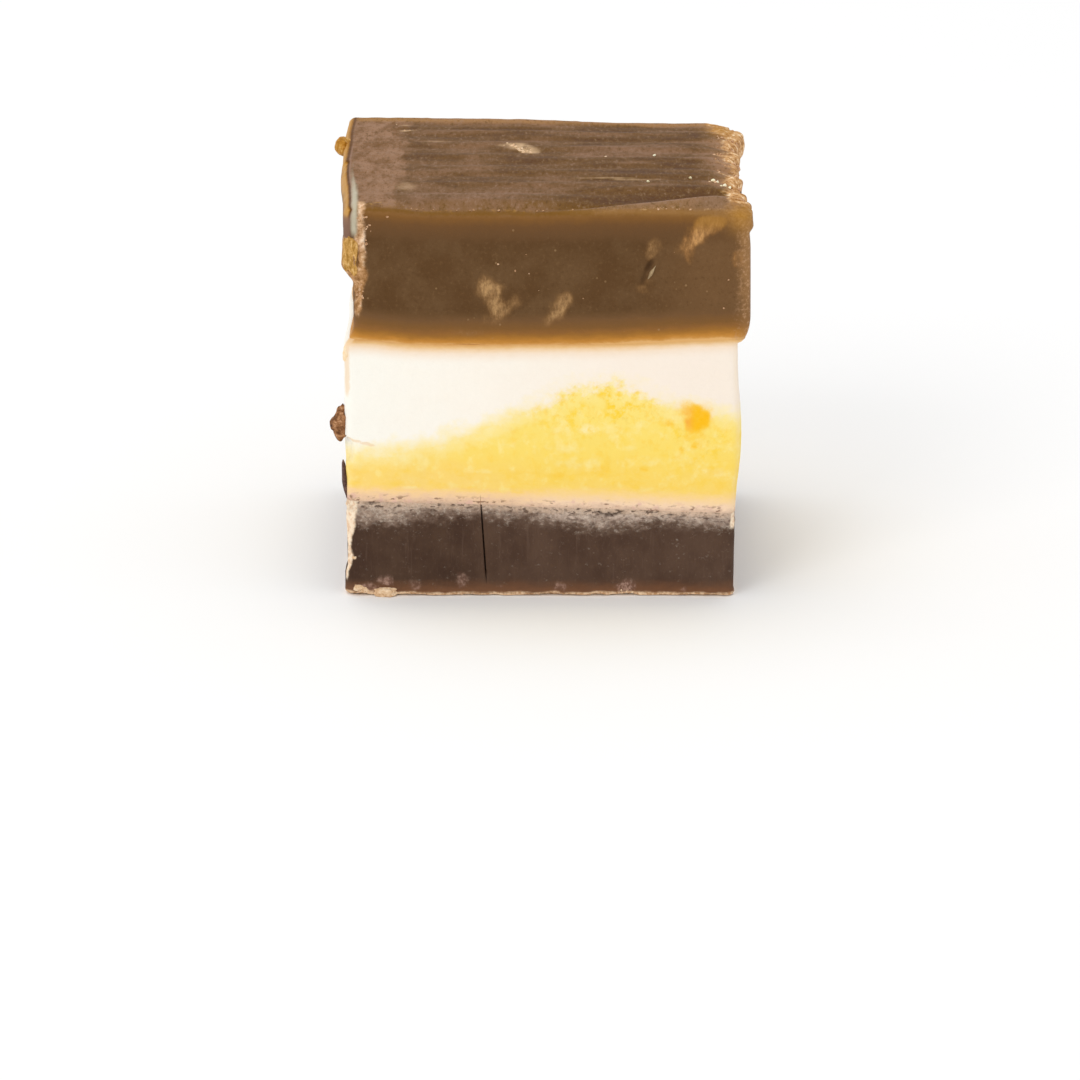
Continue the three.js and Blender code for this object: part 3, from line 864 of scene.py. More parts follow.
def above_dark_chocolate(f, tint):
    """The foot of the yellow fudge: peach at the left, pink at the right, grainy and pitted."""
    at_right = f.step(f.x, -4, 2)
    bottom = f.ragged("above_dark_seam", (1.1, 1.1, 0.5), 0.45, start=19)
    peach = f.gradient(bottom, [
        (-0.15, (196, 166, 144)), (0.2, (226, 192, 160)), (0.55, (242, 204, 164)), (1.0, (251, 212, 154)),
        (1.7, (253, 211, 118))])
    pink = f.gradient(bottom, [
        (-0.15, (208, 178, 154)), (0.2, (232, 200, 172)), (0.5, (249, 216, 182)), (1.0, (253, 217, 162)),
        (1.5, (254, 217, 138)), (2.2, (254, 217, 112))])
    share = f.step(f.plus(bottom, f.times(at_right, -0.5)), 1.7, 1.0)
    tint = f.blend(share, tint, f.blend(at_right, peach, pink))
    grainy = f.step(dark_seam_grain(f), 0.5, 0.34)
    tint = f.blend(f.times(grainy, f.step(bottom, 0.7, 0.1), 0.5), tint, (200, 158, 132))
    mauve = f.times(f.step(f.noise(0.9, detail=3, start=29), 0.52, 0.66), f.step(bottom, 1.1, 0.4), 0.45)
    tint = f.blend(mauve, tint, (226, 178, 168))
    return f.blend(f.times(dark_pits(f), 0.85), tint, (126, 88, 66))


def soft_middle_finish(name):
    """White and yellow fudge, which feather into each other along the swirl."""
    f = Finish(name, roughness=0.6, gloss=0.2)
    broad = f.noise((2.6, 2.6, 1.6), detail=4, start=3)
    fine = f.noise((0.45, 0.45, 0.36), detail=4, rough=0.65, start=14)
    flecks = f.noise((0.75, 0.75, 0.75), detail=5, rough=0.66, start=41)
    hump = f.field("hump")

    # Soft at the left, broken into flecks over the hump
    uneven = f.noise((1.3, 1.3, 1.3), detail=3, rough=0.55, start=68)
    frayed = f.times(f.signed(fine, 1.1), f.plus(f.times(hump, 0.8), 0.25))
    above = f.plus(f.field("above_swirl"), frayed, f.signed(broad, 0.9), f.signed(uneven, 1.1))
    yellow = yellow_fudge(f, broad, fine, flecks)
    tint = f.blend(f.step(above, -0.9, 0.5), yellow, white_fudge(f, broad))
    cream = f.times(f.step(above, -2.2, -0.6), f.step(above, 1.4, 0.2), f.step(hump, 0.7, 0.1, 0.15, 0.55))
    tint = f.blend(cream, tint, (254, 236, 168))

    near_spot = f.step(f.field("orange_spot"), 0.0, 0.25)
    speckle = f.times(near_spot, f.plus(f.signed(fine, 0.3), f.signed(flecks, 0.25)))
    spot = f.plus(f.field("orange_spot"), speckle)
    tint = f.blend(f.step(spot, 0.0, 0.75, 0, 0.85), tint, (254, 206, 58))
    core = f.blend(f.step(f.x, 12.4, 13.5), (250, 172, 70), (254, 191, 0))
    tint = f.blend(f.step(spot, 0.38, 1.15), tint, core)

    tint = above_dark_chocolate(f, tint)
    right = f.step(f.ragged("right_edge", (0.6, 0.6, 2.2), 0.15, start=57), 0.85, 1.1, 0, 0.35)
    tint = f.blend(right, tint, (254, 230, 190))
    tint = f.blend(f.step(f.ragged("stain", 0.5, 0.3, start=59), 0.35, 0.9, 0, 0.6), tint, (242, 208, 166))
    # Painted shade down the crack where it reaches the yellow fudge.
    tint = f.blend(crack_line(f), tint, (150, 104, 70))
    f.emboss((broad, 0.05), (fine, 0.05), (flecks, 0.03))
    return f.paint(tint, sheen=0.0)


def dark_chocolate_body(f, cloudy, fine, drags):
    """The cut dark chocolate, a little lighter at the right."""
    left = f.blend(f.step(cloudy, 0.3, 0.7), (71, 52, 42), (84, 64, 51))
    right = f.blend(f.step(cloudy, 0.3, 0.7), (79, 59, 48), (92, 71, 58))
    body = f.blend(f.step(f.x, -10, -1), left, right)
    body = f.blend(f.step(fine, 0.55, 0.78, 0, 0.4), body, (112, 91, 78))
    body = f.blend(f.step(drags, 0.57, 0.76, 0, 0.3), body, (108, 87, 74))
    specks = f.times(f.step(f.grains(0.75, start=6), 0.16, 0.09), f.step(f.noise(2.6, start=16), 0.5, 0.62))
    return f.blend(f.times(specks, 0.2), body, (150, 124, 106))


def bloomed(f, body, flecks):
    """Pale bloom that hangs down from the dark seam, with dark gaps and white flecks."""
    at_right = f.step(f.x, -4, 2)
    below = f.times(f.field("above_dark_seam"), -1)
    patches = f.plus(f.signed(f.noise((1.5, 1.5, 1.1), detail=4, rough=0.6, start=33), 1.3),
                     f.signed(f.noise((0.7, 0.7, 0.5), detail=3, rough=0.6, start=34), 0.9))
    patches = f.times(patches, f.step(below, 0.0, 0.6))
    depth = f.plus(below, patches, f.times(f.field("bloom_share"), -0.85))
    haze = f.gradient(depth, [
        (-1.2, (218, 196, 174)), (-0.4, (204, 180, 160)), (0.2, (180, 157, 139)), (0.7, (144, 123, 108)),
        (1.3, (110, 89, 76)), (2.2, (84, 65, 54))])
    strong = f.gradient(depth, [
        (-1.2, (222, 200, 178)), (-0.4, (210, 186, 166)), (0.2, (200, 178, 162)), (0.7, (170, 149, 134)),
        (1.3, (108, 88, 75)), (2.2, (82, 63, 52))])
    body = f.blend(f.step(depth, 2.2, 1.0), body, f.blend(at_right, haze, strong))
    white = f.step(f.plus(flecks, f.step(depth, 2.8, -0.6, -0.17, 0.05)), 0.44, 0.68)
    body = f.blend(f.times(white, 0.5), body, (212, 195, 178))
    gaps = f.noise((0.6, 0.6, 0.32), detail=4, rough=0.6, start=52)
    gaps = f.times(f.step(gaps, 0.53, 0.64), f.step(below, -0.1, 0.4), f.step(depth, 2.4, 0.6))
    body = f.blend(f.times(gaps, 0.6), body, (90, 72, 61))
    seam = f.ragged("above_dark_seam", (0.9, 0.9, 0.4), 0.5, start=19)
    rosy = f.blend(at_right, (212, 182, 156), (218, 188, 162))
    body = f.blend(f.step(seam, -0.8, 0.0, 0, 0.9), body, rosy)
    grainy = dark_seam_grain(f)
    zone = f.step(depth, 1.7, 0.8)
    body = f.blend(f.times(f.step(grainy, 0.5, 0.34), zone, 0.55), body, (128, 106, 92))
    body = f.blend(f.times(f.step(grainy, 0.54, 0.68), zone, 0.45), body, (230, 212, 194))
    return f.blend(f.times(dark_pits(f), 0.8), body, (84, 64, 53)), white


def squashed_foot(f, body, fine):
    """Warmer low down, with clusters of crumbs and a tan crust where it was pressed flat."""
    foot = f.ragged("above_floor", (1.8, 1.8, 0.8), 0.5, start=44)
    body = f.blend(f.step(foot, 1.8, 0.2, 0, 0.9), body, (126, 86, 60))
    cluster = f.step(f.ragged("cluster", 0.5, 0.5, start=46), 0.1, 1.15, 0, 0.8)
    pinkish = f.blend(f.step(fine, 0.4, 0.64), (122, 90, 76), (194, 158, 140))
    body = f.blend(cluster, body, pinkish)
    crust = f.ragged("above_floor", (1.6, 1.6, 0.5), 0.24, start=47)
    tan = f.blend(f.step(fine, 0.35, 0.62), (200, 154, 112), (250, 218, 180))
    return f.blend(f.step(crust, 0.5, 0.24, 0, 0.95), body, tan)


def dark_chocolate_finish():
    f = Finish("dark_chocolate", roughness=0.64, gloss=0.18)
    cloudy = f.noise((2.4, 2.4, 3.2), detail=4)
    fine = f.noise((0.3, 0.3, 0.42), detail=4, rough=0.62, start=5)
    drags = f.noise((0.3, 0.3, 3.6), detail=3, start=13)
    flecks = f.noise((0.45, 0.45, 0.36), detail=5, rough=0.66, start=8)
    body = dark_chocolate_body(f, cloudy, fine, drags)
    body, white = bloomed(f, body, flecks)
    body = squashed_foot(f, body, fine)

    smear = f.step(f.ragged("torn", 0.5, 0.45, start=28), 0.2, 0.85)
    cream = f.blend(f.step(fine, 0.32, 0.6), (230, 192, 156), (253, 233, 206))
    body = f.blend(smear, body, cream)
    # Painted shade in the slits, which are also sunk in a little.
    body = f.blend(f.times(f.field("slit"), 0.95), body, (52, 36, 30))
    broken = f.step(f.noise((0.5, 0.5, 0.7), detail=3, rough=0.6, start=73), 0.36, 0.56, 0.6, 1)
    # Painted shade down the crack, which is also cut into the face.
    body = f.blend(f.times(crack_line(f), broken), body, (34, 23, 18))
    f.emboss((cloudy, 0.04), (fine, 0.035), (white, 0.05), (drags, 0.03))
    return f.paint(body)


def crumb_finish(name, stops, roughness=0.7, size=0.45):
    """Broken fudge: colours from dark hollows to pale grains, partly their own tone and partly painted shade
    in the hollows and painted highlights on the grains.
    """
    f = Finish(name, roughness=roughness, gloss=0.25)
    lumpy = f.noise(size, detail=4, rough=0.68, start=3)
    fine = f.noise(0.12, detail=2, start=7)
    tint = f.gradient(f.plus(lumpy, f.signed(fine, 0.08)), stops)
    f.emboss((lumpy, 0.08), (fine, 0.02))
    return f.paint(tint)


# ---- The layers -------------------------------------------------------------------------
def marks(points, patches, fray=0.4, axis=2):
    """How strongly each point lies in any of the patches on the front (2) or the top (1)."""
    x, across = points[:, 0], points[:, axis]
    wobble = fray * grain(points, 0.7, 7.7)
    total = np.zeros(len(points))
    for centre_x, centre, wide, tall, lean, strength in patches:
        along = (x - centre_x) * math.cos(lean) - (across - centre) * math.sin(lean)
        up = (x - centre_x) * math.sin(lean) + (across - centre) * math.cos(lean)
        distance = np.hypot(along / wide, up / tall) + wobble
        total = 1 - (1 - total) * (1 - np.clip(strength * (1 - ease(distance, 0.3, 1.5)), 0, 1))
    return total


def shared_fields(shape, *names):
    """Those of the fields that the materials of several layers read."""
    x, y, z = shape.points.T
    fields = dict(
        above_milk_seam=z - milk_seam(x, y),
        above_dark_seam=z - dark_seam(x, y),
        front=shape.front,
        right_edge=(1 - ease(shape.upright, 0.0, 2.4)) * (x > 0),
    )
    return {name: fields[name] for name in names}


def crack_depth(points):
    """How deep the crack down the front is at each point."""
    x, _, z = points.T
    top_height, foot_height = CRACK_TOP[1], CRACK_FOOT[1]
    share = (top_height - z) / (top_height - foot_height)
    middle = CRACK_TOP[0] + share * (CRACK_FOOT[0] - CRACK_TOP[0])
    length = ease(z, foot_height - 0.2, foot_height + 1.2) * (1 - ease(z, top_height - 0.8, top_height))
    return CRACK_DEPTH * np.clip(1 - np.abs(x - middle) / CRACK_HALF_WIDTH, 0, 1) * length


def push_out(piece, shape, relief):
    """Moves each point out of the piece, level along the seams so that layers stay flush."""
    normals = read_vectors(piece.data.vertex_normals, "vector")
    normals[shape.on_seam] = wall_normals(piece)[shape.on_seam] * (1, 1, 0)
    out = normals / np.maximum(np.linalg.norm(normals, axis=1), TINY)[:, None]
    moved = shape.points + out * relief[:, None]
    write_points(piece, moved)
    return moved


def knife_marks(points):
    """The slow waves and fine upright scratches of a knife pulled down through soft fudge."""
    slow = 0.05 * grain(points, 3.1, 4.2)
    return slow + 0.014 * grain(points, (0.5, 0.5, 5), 1.3)


def torn_strip(shape):
    """Where the left front edge is torn off: wide at the top, thin below."""
    z = shape.points[:, 2]
    width = 0.9 + 1.2 * ease(z, 28.5, 30.5) - 0.2 * ease(z, 34.8, 36)
    across = shape.upright + 0.3 * grain(shape.points, 0.8, 2.2)
    torn = (1 - ease(across, width - 0.5, width + 0.5)) * shape.left_front * ease(z, 25.6, 26.8)
    return torn * np.maximum(ease(shape.to_side, 0.8, 1.3), 1 - ease(z, 32.8, 33.6))


def crumbled_rim(shape, on_top):
    """Where the right rim crumbles; the chunk at the back crumbles further down."""
    x, y, _ = shape.points.T
    start = 14.9 - 1.2 * ease(y, 8, 13) + 0.7 * grain(shape.points, 1.3, 6.1)
    off_front = on_top + (1 - on_top) * ease(shape.to_front, 0.2, 1.4)
    chunk = 1.5 * ease(y, 3, 7)
    crumbled = ease(x, start, start + 2.4) * off_front
    return crumbled * (1 - ease(shape.to_top, 0.5 + chunk, 1.9 + chunk))


def rim_gleam(shape, on_top):
    """The painted gleaming line where the poured top turns down at the left, strongest at the front."""
    x, y, z = shape.points.T
    strength = (0.3 + 0.7 * ease(-y, 2, 12)) * ease(-y, -9, 2) * on_top
    above = bell(shape.to_side, 1.02, 0.12 + 0.22 * ease(-y, -4, 13)) * strength
    on_front = shape.left_front * (shape.to_front < 1)
    return np.maximum(above, bell(shape.to_side, 1.02, 0.36) * ease(z, 32.9, 34.2) * on_front) * (x < 0)


def drag_waves(points):
    """Waves and finer lines dragged over the top from left to right."""
    x, y, z = points.T
    bent = np.stack([x, y + 0.5 * grain(points, 6, 9.9) + 0.003 * x ** 2, z], axis=1)
    return grain(bent, (11, 2.5, 4), 3.3) + 0.35 * grain(bent, (6, 1.1, 3), 8.1)


def milk_chocolate_slab(material):
    """The overhanging top layer, with its torn, poured and crumbling edges."""
    bottom, ceiling = MILK_SEAM_HEIGHT, HEIGHT
    piece = layer_block("milk_chocolate_slab", bottom, ceiling, MILK_ROWS)
    shape = Shape(piece, bottom, ceiling, milk_seam, top, upper_radius=top_radius)
    points = shape.points
    x, y, z = points.T
    on_top = 1 - ease(shape.to_top, 0.15, 0.6)
    behind = behind_groove(x, y)

    crumbled = crumbled_rim(shape, on_top)
    gleam = rim_gleam(shape, on_top)
    front_knob = bell(x, 17.2, 1.1) * bell(y, -15.4, 1.3) * bell(z, 35.2, 1.3)
    back_rim = 0.45 * (1 - ease(shape.to_back + shape.to_top, 0.1, 0.7))
    torn = np.maximum.reduce(
        [torn_strip(shape) * (1 - 0.85 * gleam), crumbled * (1 - front_knob), back_rim])
    back_chunk = 0.8 * bell(x, 16.2, 1.2) * bell(y, 12, 2.5) * on_top

    poured_edge = (1 - ease(shape.to_side, 0.75, 1.0)) * (x < 0)
    poured_edge *= 1 - ease(shape.to_top + 0.5 * grain(points, 1.6, 8.8), 0.4, 1.7)
    under_rim = (x < 0) * (1 - ease(shape.to_side, 0.4, 0.9)) * ease(shape.to_top, 0.6, 1.3)
    under_rim *= ease(z, 32.6, 33.2) * (1 - ease(y, -14, -10.5))
    drag_wave = drag_waves(points)
    drag = on_top * (0.12 + 0.88 * ease(x, -7, 5)) * ease(behind, 0.6, 2.4) * (1 - 0.6 * crumbled)
    old_crease = bell(y - 0.03 * x, 11.7, 0.55) * ease(x, -14.5, -12.5) * (1 - ease(x, -3, 4)) * on_top
    smudge = marks(points, SMUDGES) * shape.front
    hollow = marks(points, HOLLOWS, fray=0.1) * shape.front

    crease = np.clip(1 - np.abs(drag_wave) / 0.3, 0, 1)
    relief = drag * (0.05 * drag_wave - 0.03 * crease) + (1 - on_top) * knife_marks(points)
    relief += on_top * 0.03 * grain(points, (1.1, 3, 2), 14.2) - 0.06 * old_crease
    ragged = 0.12 * grain(points, 1.5, 1.1) + 0.1 * grain(points, 0.8, 2.7) + 0.05 * grain(points, 0.42, 9.3)
    relief += torn * ragged
    soft_edge = 1 - ease(np.maximum(shape.to_top, shape.wall), 0.1, 0.8)
    relief += (1 - torn) * soft_edge * 0.06 * grain(points, 0.8, 12.4)
    relief += 0.02 * smudge * grain(points, 0.4, 5.1) - 0.18 * hollow
    push_out(piece, shape, relief)

    crumb_reach = 1.3 + 1.1 * (1 - ease(x, -13.5, -10.5))
    near_front = 1 - ease(shape.to_front, crumb_reach - 0.9, crumb_reach)
    patch_edge = x + 0.9 * grain(points, 1.7, 5.5) + 0.5 * grain(points, 0.7, 6.6)
    store(
        piece, on_top=on_top, torn=torn, smudge=smudge, hollow=hollow, gleam=gleam,
        golden=np.maximum(front_knob, back_chunk),
        to_rim=np.maximum(shape.to_top, shape.wall), from_left=shape.to_side - 0.25 * ease(y, 0, 8),
        poured_edge=poured_edge, under_rim=under_rim,
        smooth_patch=1 - ease(patch_edge, -13.4, -12.2), drag=drag, drag_wave=drag_wave,
        # groove: painted shade in the trough behind the lip and in the old crease
        groove=np.maximum(ease(x, -2, 6) * bell(behind, 0.9, 1.3) * on_top, 0.7 * old_crease),
        lip=ease(x, -1, 6) * ease(-behind, 0.3, 0.8) * on_top,
        lip_crest=ease(x, 5, 10) * bell(behind, -0.9, 0.5) * on_top,
        front_band=(1 - ease(shape.to_front, 0.8, 4)) * on_top * (0.4 + 0.6 * ease(x, -13, -6)),
        front_crumbs=near_front * (1 - ease(shape.to_top, 0.05, 0.25)),
        back_band=1 - ease(shape.to_back, 0.8, 3.0), rim_glow=ease(x, 13.4, 16.6),
        top_streak=marks(points, TOP_STREAKS, axis=1) * on_top, right_share=ease(x, 7, 15),
        **shared_fields(shape, "above_milk_seam", "right_edge"))
    thin_hidden_side(piece, shape.on_bottom & (shape.wall > SEEN_DEPTH))
    finish_piece(piece, material, "milk_chocolate_layer")


def soft_middle_layer(name, bottom, ceiling, rows, under, upper, material, node):
    """The white or the yellow layer, between two seams."""
    piece = layer_block(name, bottom, ceiling, rows)
    shape = Shape(piece, bottom, ceiling, under, upper)
    points = shape.points
    x, y, z = points.T
    relief = knife_marks(points) + 0.02 * grain(points, 0.7, 15.2)
    relief[~shape.on_wall] = 0
    push_out(piece, shape, relief)

    torn_corner = (1 - ease(shape.upright, 0.1, 0.9)) * shape.left_front * ease(z, 18, 19.5)
    knife_line = 1.3 * bell(z, 14.7 - 0.25 * (x + 17), 0.16) * ease(-x, 14.6, 15.6) * shape.front
    flecked_hump = bell(x, hump_place(y) - 1, 7) * bell(z, 18.5, 3.2)
    around_spot = 0.8 * bell(x, 13.5, 3) * bell(z, 15, 2.5)
    left_wall = (x < 0) * (1 - ease(shape.to_side, 0.1, 0.6)) * ease(shape.to_front, 0.2, 0.7)
    store(
        piece, hump=np.maximum(flecked_hump, around_spot), seam_stain=1 - 0.9 * left_wall,
        orange_spot=marks(points, ORANGE_SPOTS) * shape.front,
        pale_spot=marks(points, PALE_SPOTS) * shape.front,
        stain=np.maximum(torn_corner, knife_line), above_swirl=z - swirl(x, y),
        **shared_fields(shape, "above_milk_seam", "above_dark_seam", "front", "right_edge"))
    thin_hidden_side(piece, shape.wall > SEEN_DEPTH)
    finish_piece(piece, material, node)


def dark_chocolate_base(material):
    """The base, with its crack, slits, torn edge and squashed foot."""
    bottom, ceiling = 0, DARK_SEAM_HEIGHT
    piece = layer_block("dark_chocolate_base", bottom, ceiling, DARK_ROWS)
    cut_between(piece, 0, CRACK_CUTS, near=lambda middle: abs(middle.x / MM - CRACK_MIDDLE) < 0.6)
    shape = Shape(piece, bottom, ceiling, floor_level, dark_seam, under_radius=foot_radius)
    points = shape.points
    x, y, z = points.T
    across = shape.upright + 0.18 * grain(points, 0.9, 3.8)
    width = 0.2 + 0.75 * ease(z, 4.5, 8.8) + 0.22 * bell(z, 3.6, 0.7)
    left_strip = (1 - ease(across, width - 0.15, width + 0.3)) * shape.left_front * ease(z, 0.9, 2.2)
    right_strip = (1 - ease(across, 0.25, 0.6)) * ease(z, 6.0, 6.8) * (x > 0) * (y < 0)
    torn = np.maximum(left_strip, right_strip)
    slit = marks(points, SLITS, fray=0.15) * shape.front
    cluster = marks(points, FOOT_CLUSTERS) * shape.front

    relief = knife_marks(points)
    near_seam = bell(z - dark_seam(x, y), -0.7, 0.9) * (1 - shape.on_seam)
    relief += near_seam * (0.08 * grain(points, (0.6, 0.6, 0.38), 4.4) - 0.03)
    relief += torn * (0.12 * grain(points, 0.8, 6.6) + 0.07 * grain(points, 0.4, 7.9) + 0.06)
    foot = 1 - ease(z, 0.15, 0.9)
    relief += foot * (0.14 * grain(points, (1.1, 1.1, 0.8), 10.1) + 0.08)
    relief += cluster * (0.06 * grain(points, 0.5, 13.1) + 0.05)
    relief -= crack_depth(points) * shape.front + 0.2 * slit
    relief[~shape.on_wall | shape.on_bottom] = 0
    moved = push_out(piece, shape, relief)
    lifted = 0.3 * np.maximum(0, grain(points, (1.3, 1.3, 9), 18.4)) * (1 - ease(z, 0.1, 1.2))
    moved[:, 2] += lifted * (1 - ease(shape.wall, 0.2, 0.6))
    write_points(piece, moved)
    store(
        piece, torn=torn, slit=slit, cluster=cluster,
        bloom_share=np.maximum(bell(x, -14.8, 3), 0.8 * bell(x, 5.5, 3.5)), above_floor=z,
        **shared_fields(shape, "above_dark_seam", "front"))
    thin_hidden_side(piece, shape.wall > SEEN_DEPTH)
    finish_piece(piece, material, "dark_chocolate_layer")


# ---- Crumbs and flakes -------------------------------------------------------------------
DRAW = np.random.default_rng(5)  # one draw after another, so their order counts


def lump(name, centre, half_sizes, fineness, boxy=1.0, taper=0.0, rough=0.25, grit=0.45, lean=0.0,
         start=0.0):
    """A broken lump: a ball pulled to size, squared or pointed, with a rough skin."""
    bpy.ops.object.select_all(action="DESELECT")
    bpy.ops.mesh.primitive_ico_sphere_add(subdivisions=fineness, radius=MM, location=(0, 0, 0))
    piece = bpy.context.object
    piece.name = name
    ball = read_points(piece)
    form = np.sign(ball) * np.abs(ball) ** boxy
    form[:, :2] *= (1 - taper * np.abs(ball[:, 2:]) ** 1.4)
    size = np.asarray(half_sizes, float)
    form = form * size
    skin = grain(form + centre, grit, start) + 0.5 * grain(form + centre, np.asarray(grit) / 2.3, start + 5)
    form += ball * (size * rough * skin[:, None])
    turned = Matrix.Rotation(lean, 3, "Y")
    placed = form @ np.array(turned).T + centre
    if centre[2] > 0:
        placed[:, 2] = np.maximum(placed[:, 2], LUMP_CLEARANCE)
    write_points(piece, placed)
    return piece


def crumb_shapes():
    """Four small crumbs, one millimetre in radius, that are copied for the scattered ones."""
    return [
        lump("crumb_shape", (0, 0, 0), (1, size, 0.8), 2, boxy=0.85, rough=0.35, grit=0.9, start=7 * size)
        for size in (0.7, 0.85, 1.0, 1.15)]


def scatter(name, shapes, places, material):
    """Copies of the crumbs at places of x, y, height and radius, joined into one piece."""
    bpy.ops.object.select_all(action="DESELECT")
    for number, (x, y, z, size) in enumerate(places):
        copy = shapes[number % len(shapes)].copy()
        copy.data = copy.data.copy()
        angles = Euler(DRAW.uniform(0, 2 * math.pi, 3))
        stretch = Vector(DRAW.uniform(0.7, 1.3, 3)) * size
        copy.data.transform(Matrix.LocRotScale(Vector((x, y, z)) * MM, angles, stretch))
        bpy.context.scene.collection.objects.link(copy)
        copy.select_set(True)
        bpy.context.view_layer.objects.active = copy
    piece = bpy.context.object
    bpy.ops.object.join()
    piece.name = name
    finish_piece(piece, material, smooth_up_to=CRUMB_SMOOTHING)


def side_reach(name, along, z):
    """How far a side face stands out at one place."""
    return reach(name, np.array([along]), HALF_DEPTH, np.array([z]))[0]


def at_front(x, z, sunk=0.0):
    """The point of the front face at x and a height, or a little inside it."""
    out = reach("front", np.array([float(x)]), HALF_WIDTH, np.array([float(z)]))[0]
    return (x, -out + sunk, z)


def at_top(x, y, sunk=0.0):
    """The point of the top at x and y, or a little inside it."""
    return (x, y, top(np.array([float(x)]), np.array([float(y)]))[0] - sunk)


def rim_crumbs():
    """Crumbs on the right rim, on the top and then on the side below it."""
    places = []
    for _ in range(RIM_TOP_CRUMBS):
        y = DRAW.uniform(-13.5, 13.5)
        inward = DRAW.exponential(0.9)
        size = DRAW.uniform(0.07, 0.2)
        edge = side_reach("right", y, 35.2) - 0.4
        if inward < 2.6:
            places.append((*at_top(edge - inward, y, size * 0.6), size))
    for _ in range(RIM_SIDE_CRUMBS):
        z = DRAW.uniform(33.6, 35.6)
        y = DRAW.uniform(-13.5, 14)
        size = DRAW.uniform(0.1, 0.26)
        places.append((side_reach("right", y, z) - size * 0.6, y, z, size))
    return places


def edge_crumbs():
    """Pale grains left along the front top edge and over the front face."""
    places = []
    for _ in range(FRONT_EDGE_CRUMBS):
        x = DRAW.choice([DRAW.uniform(9.5, 16), DRAW.uniform(-14, 16)])
        size = DRAW.uniform(0.04, 0.1)
        places.append((*at_top(x, -15.35 + DRAW.uniform(-0.1, 0.25), size * 0.5), size))
    return places + [(*at_front(x, z, size * 0.5), size) for x, z, size in FACE_GRAINS]


def torn_edge_crumbs():
    """Crumbs down the torn left front edge, further in where the strip is wide."""
    places = []
    for _ in range(TORN_EDGE_CRUMBS):
        z = DRAW.uniform(26.6, 35.4)
        width = 0.6 if z < 29.5 else 1.3
        across = DRAW.uniform(0, width) + (1.0 if z > 33 else 0.6 if z > 30 else 0)
        size = DRAW.uniform(0.06, 0.17)
        side = -side_reach("left", -15.0, z)
        rounding = 0.55 * max(0, 1 - across / 0.9) ** 2
        places.append((*at_front(side + 0.35 + across, z, rounding + size * 0.6), size))
    return places


def flake_crumbs():
    """A long flake of crumbs lying on the top, and a few loose ones."""
    places = []
    for _ in range(FLAKE_CRUMBS):
        along = DRAW.uniform(-1, 1)
        x = -2.3 + 1.2 * along + DRAW.normal(0, 0.15)
        y = 4.3 - 1.1 * along + DRAW.normal(0, 0.35)
        places.append((*at_top(x, y, 0.06), DRAW.uniform(0.08, 0.2) * (1.25 - 0.4 * abs(along))))
    for x, y in LOOSE_FLAKES:
        places.append((*at_top(x, y, 0.06), DRAW.uniform(0.08, 0.13)))
    return places


def foot_crumbs():
    """Crumbs stuck to the foot of the front, and a row of fine ones along the floor."""
    places = [(*at_front(x, z, size * 0.5), size) for x, z, size in FOOT_GRAINS]
    for _ in range(FLOOR_CRUMBS):
        x = DRAW.uniform(-16.5, 16)
        size = DRAW.uniform(0.05, 0.11)
        places.append((*at_front(x, size * 1.5 + DRAW.uniform(0, 0.25), 0.04), size))
    return places


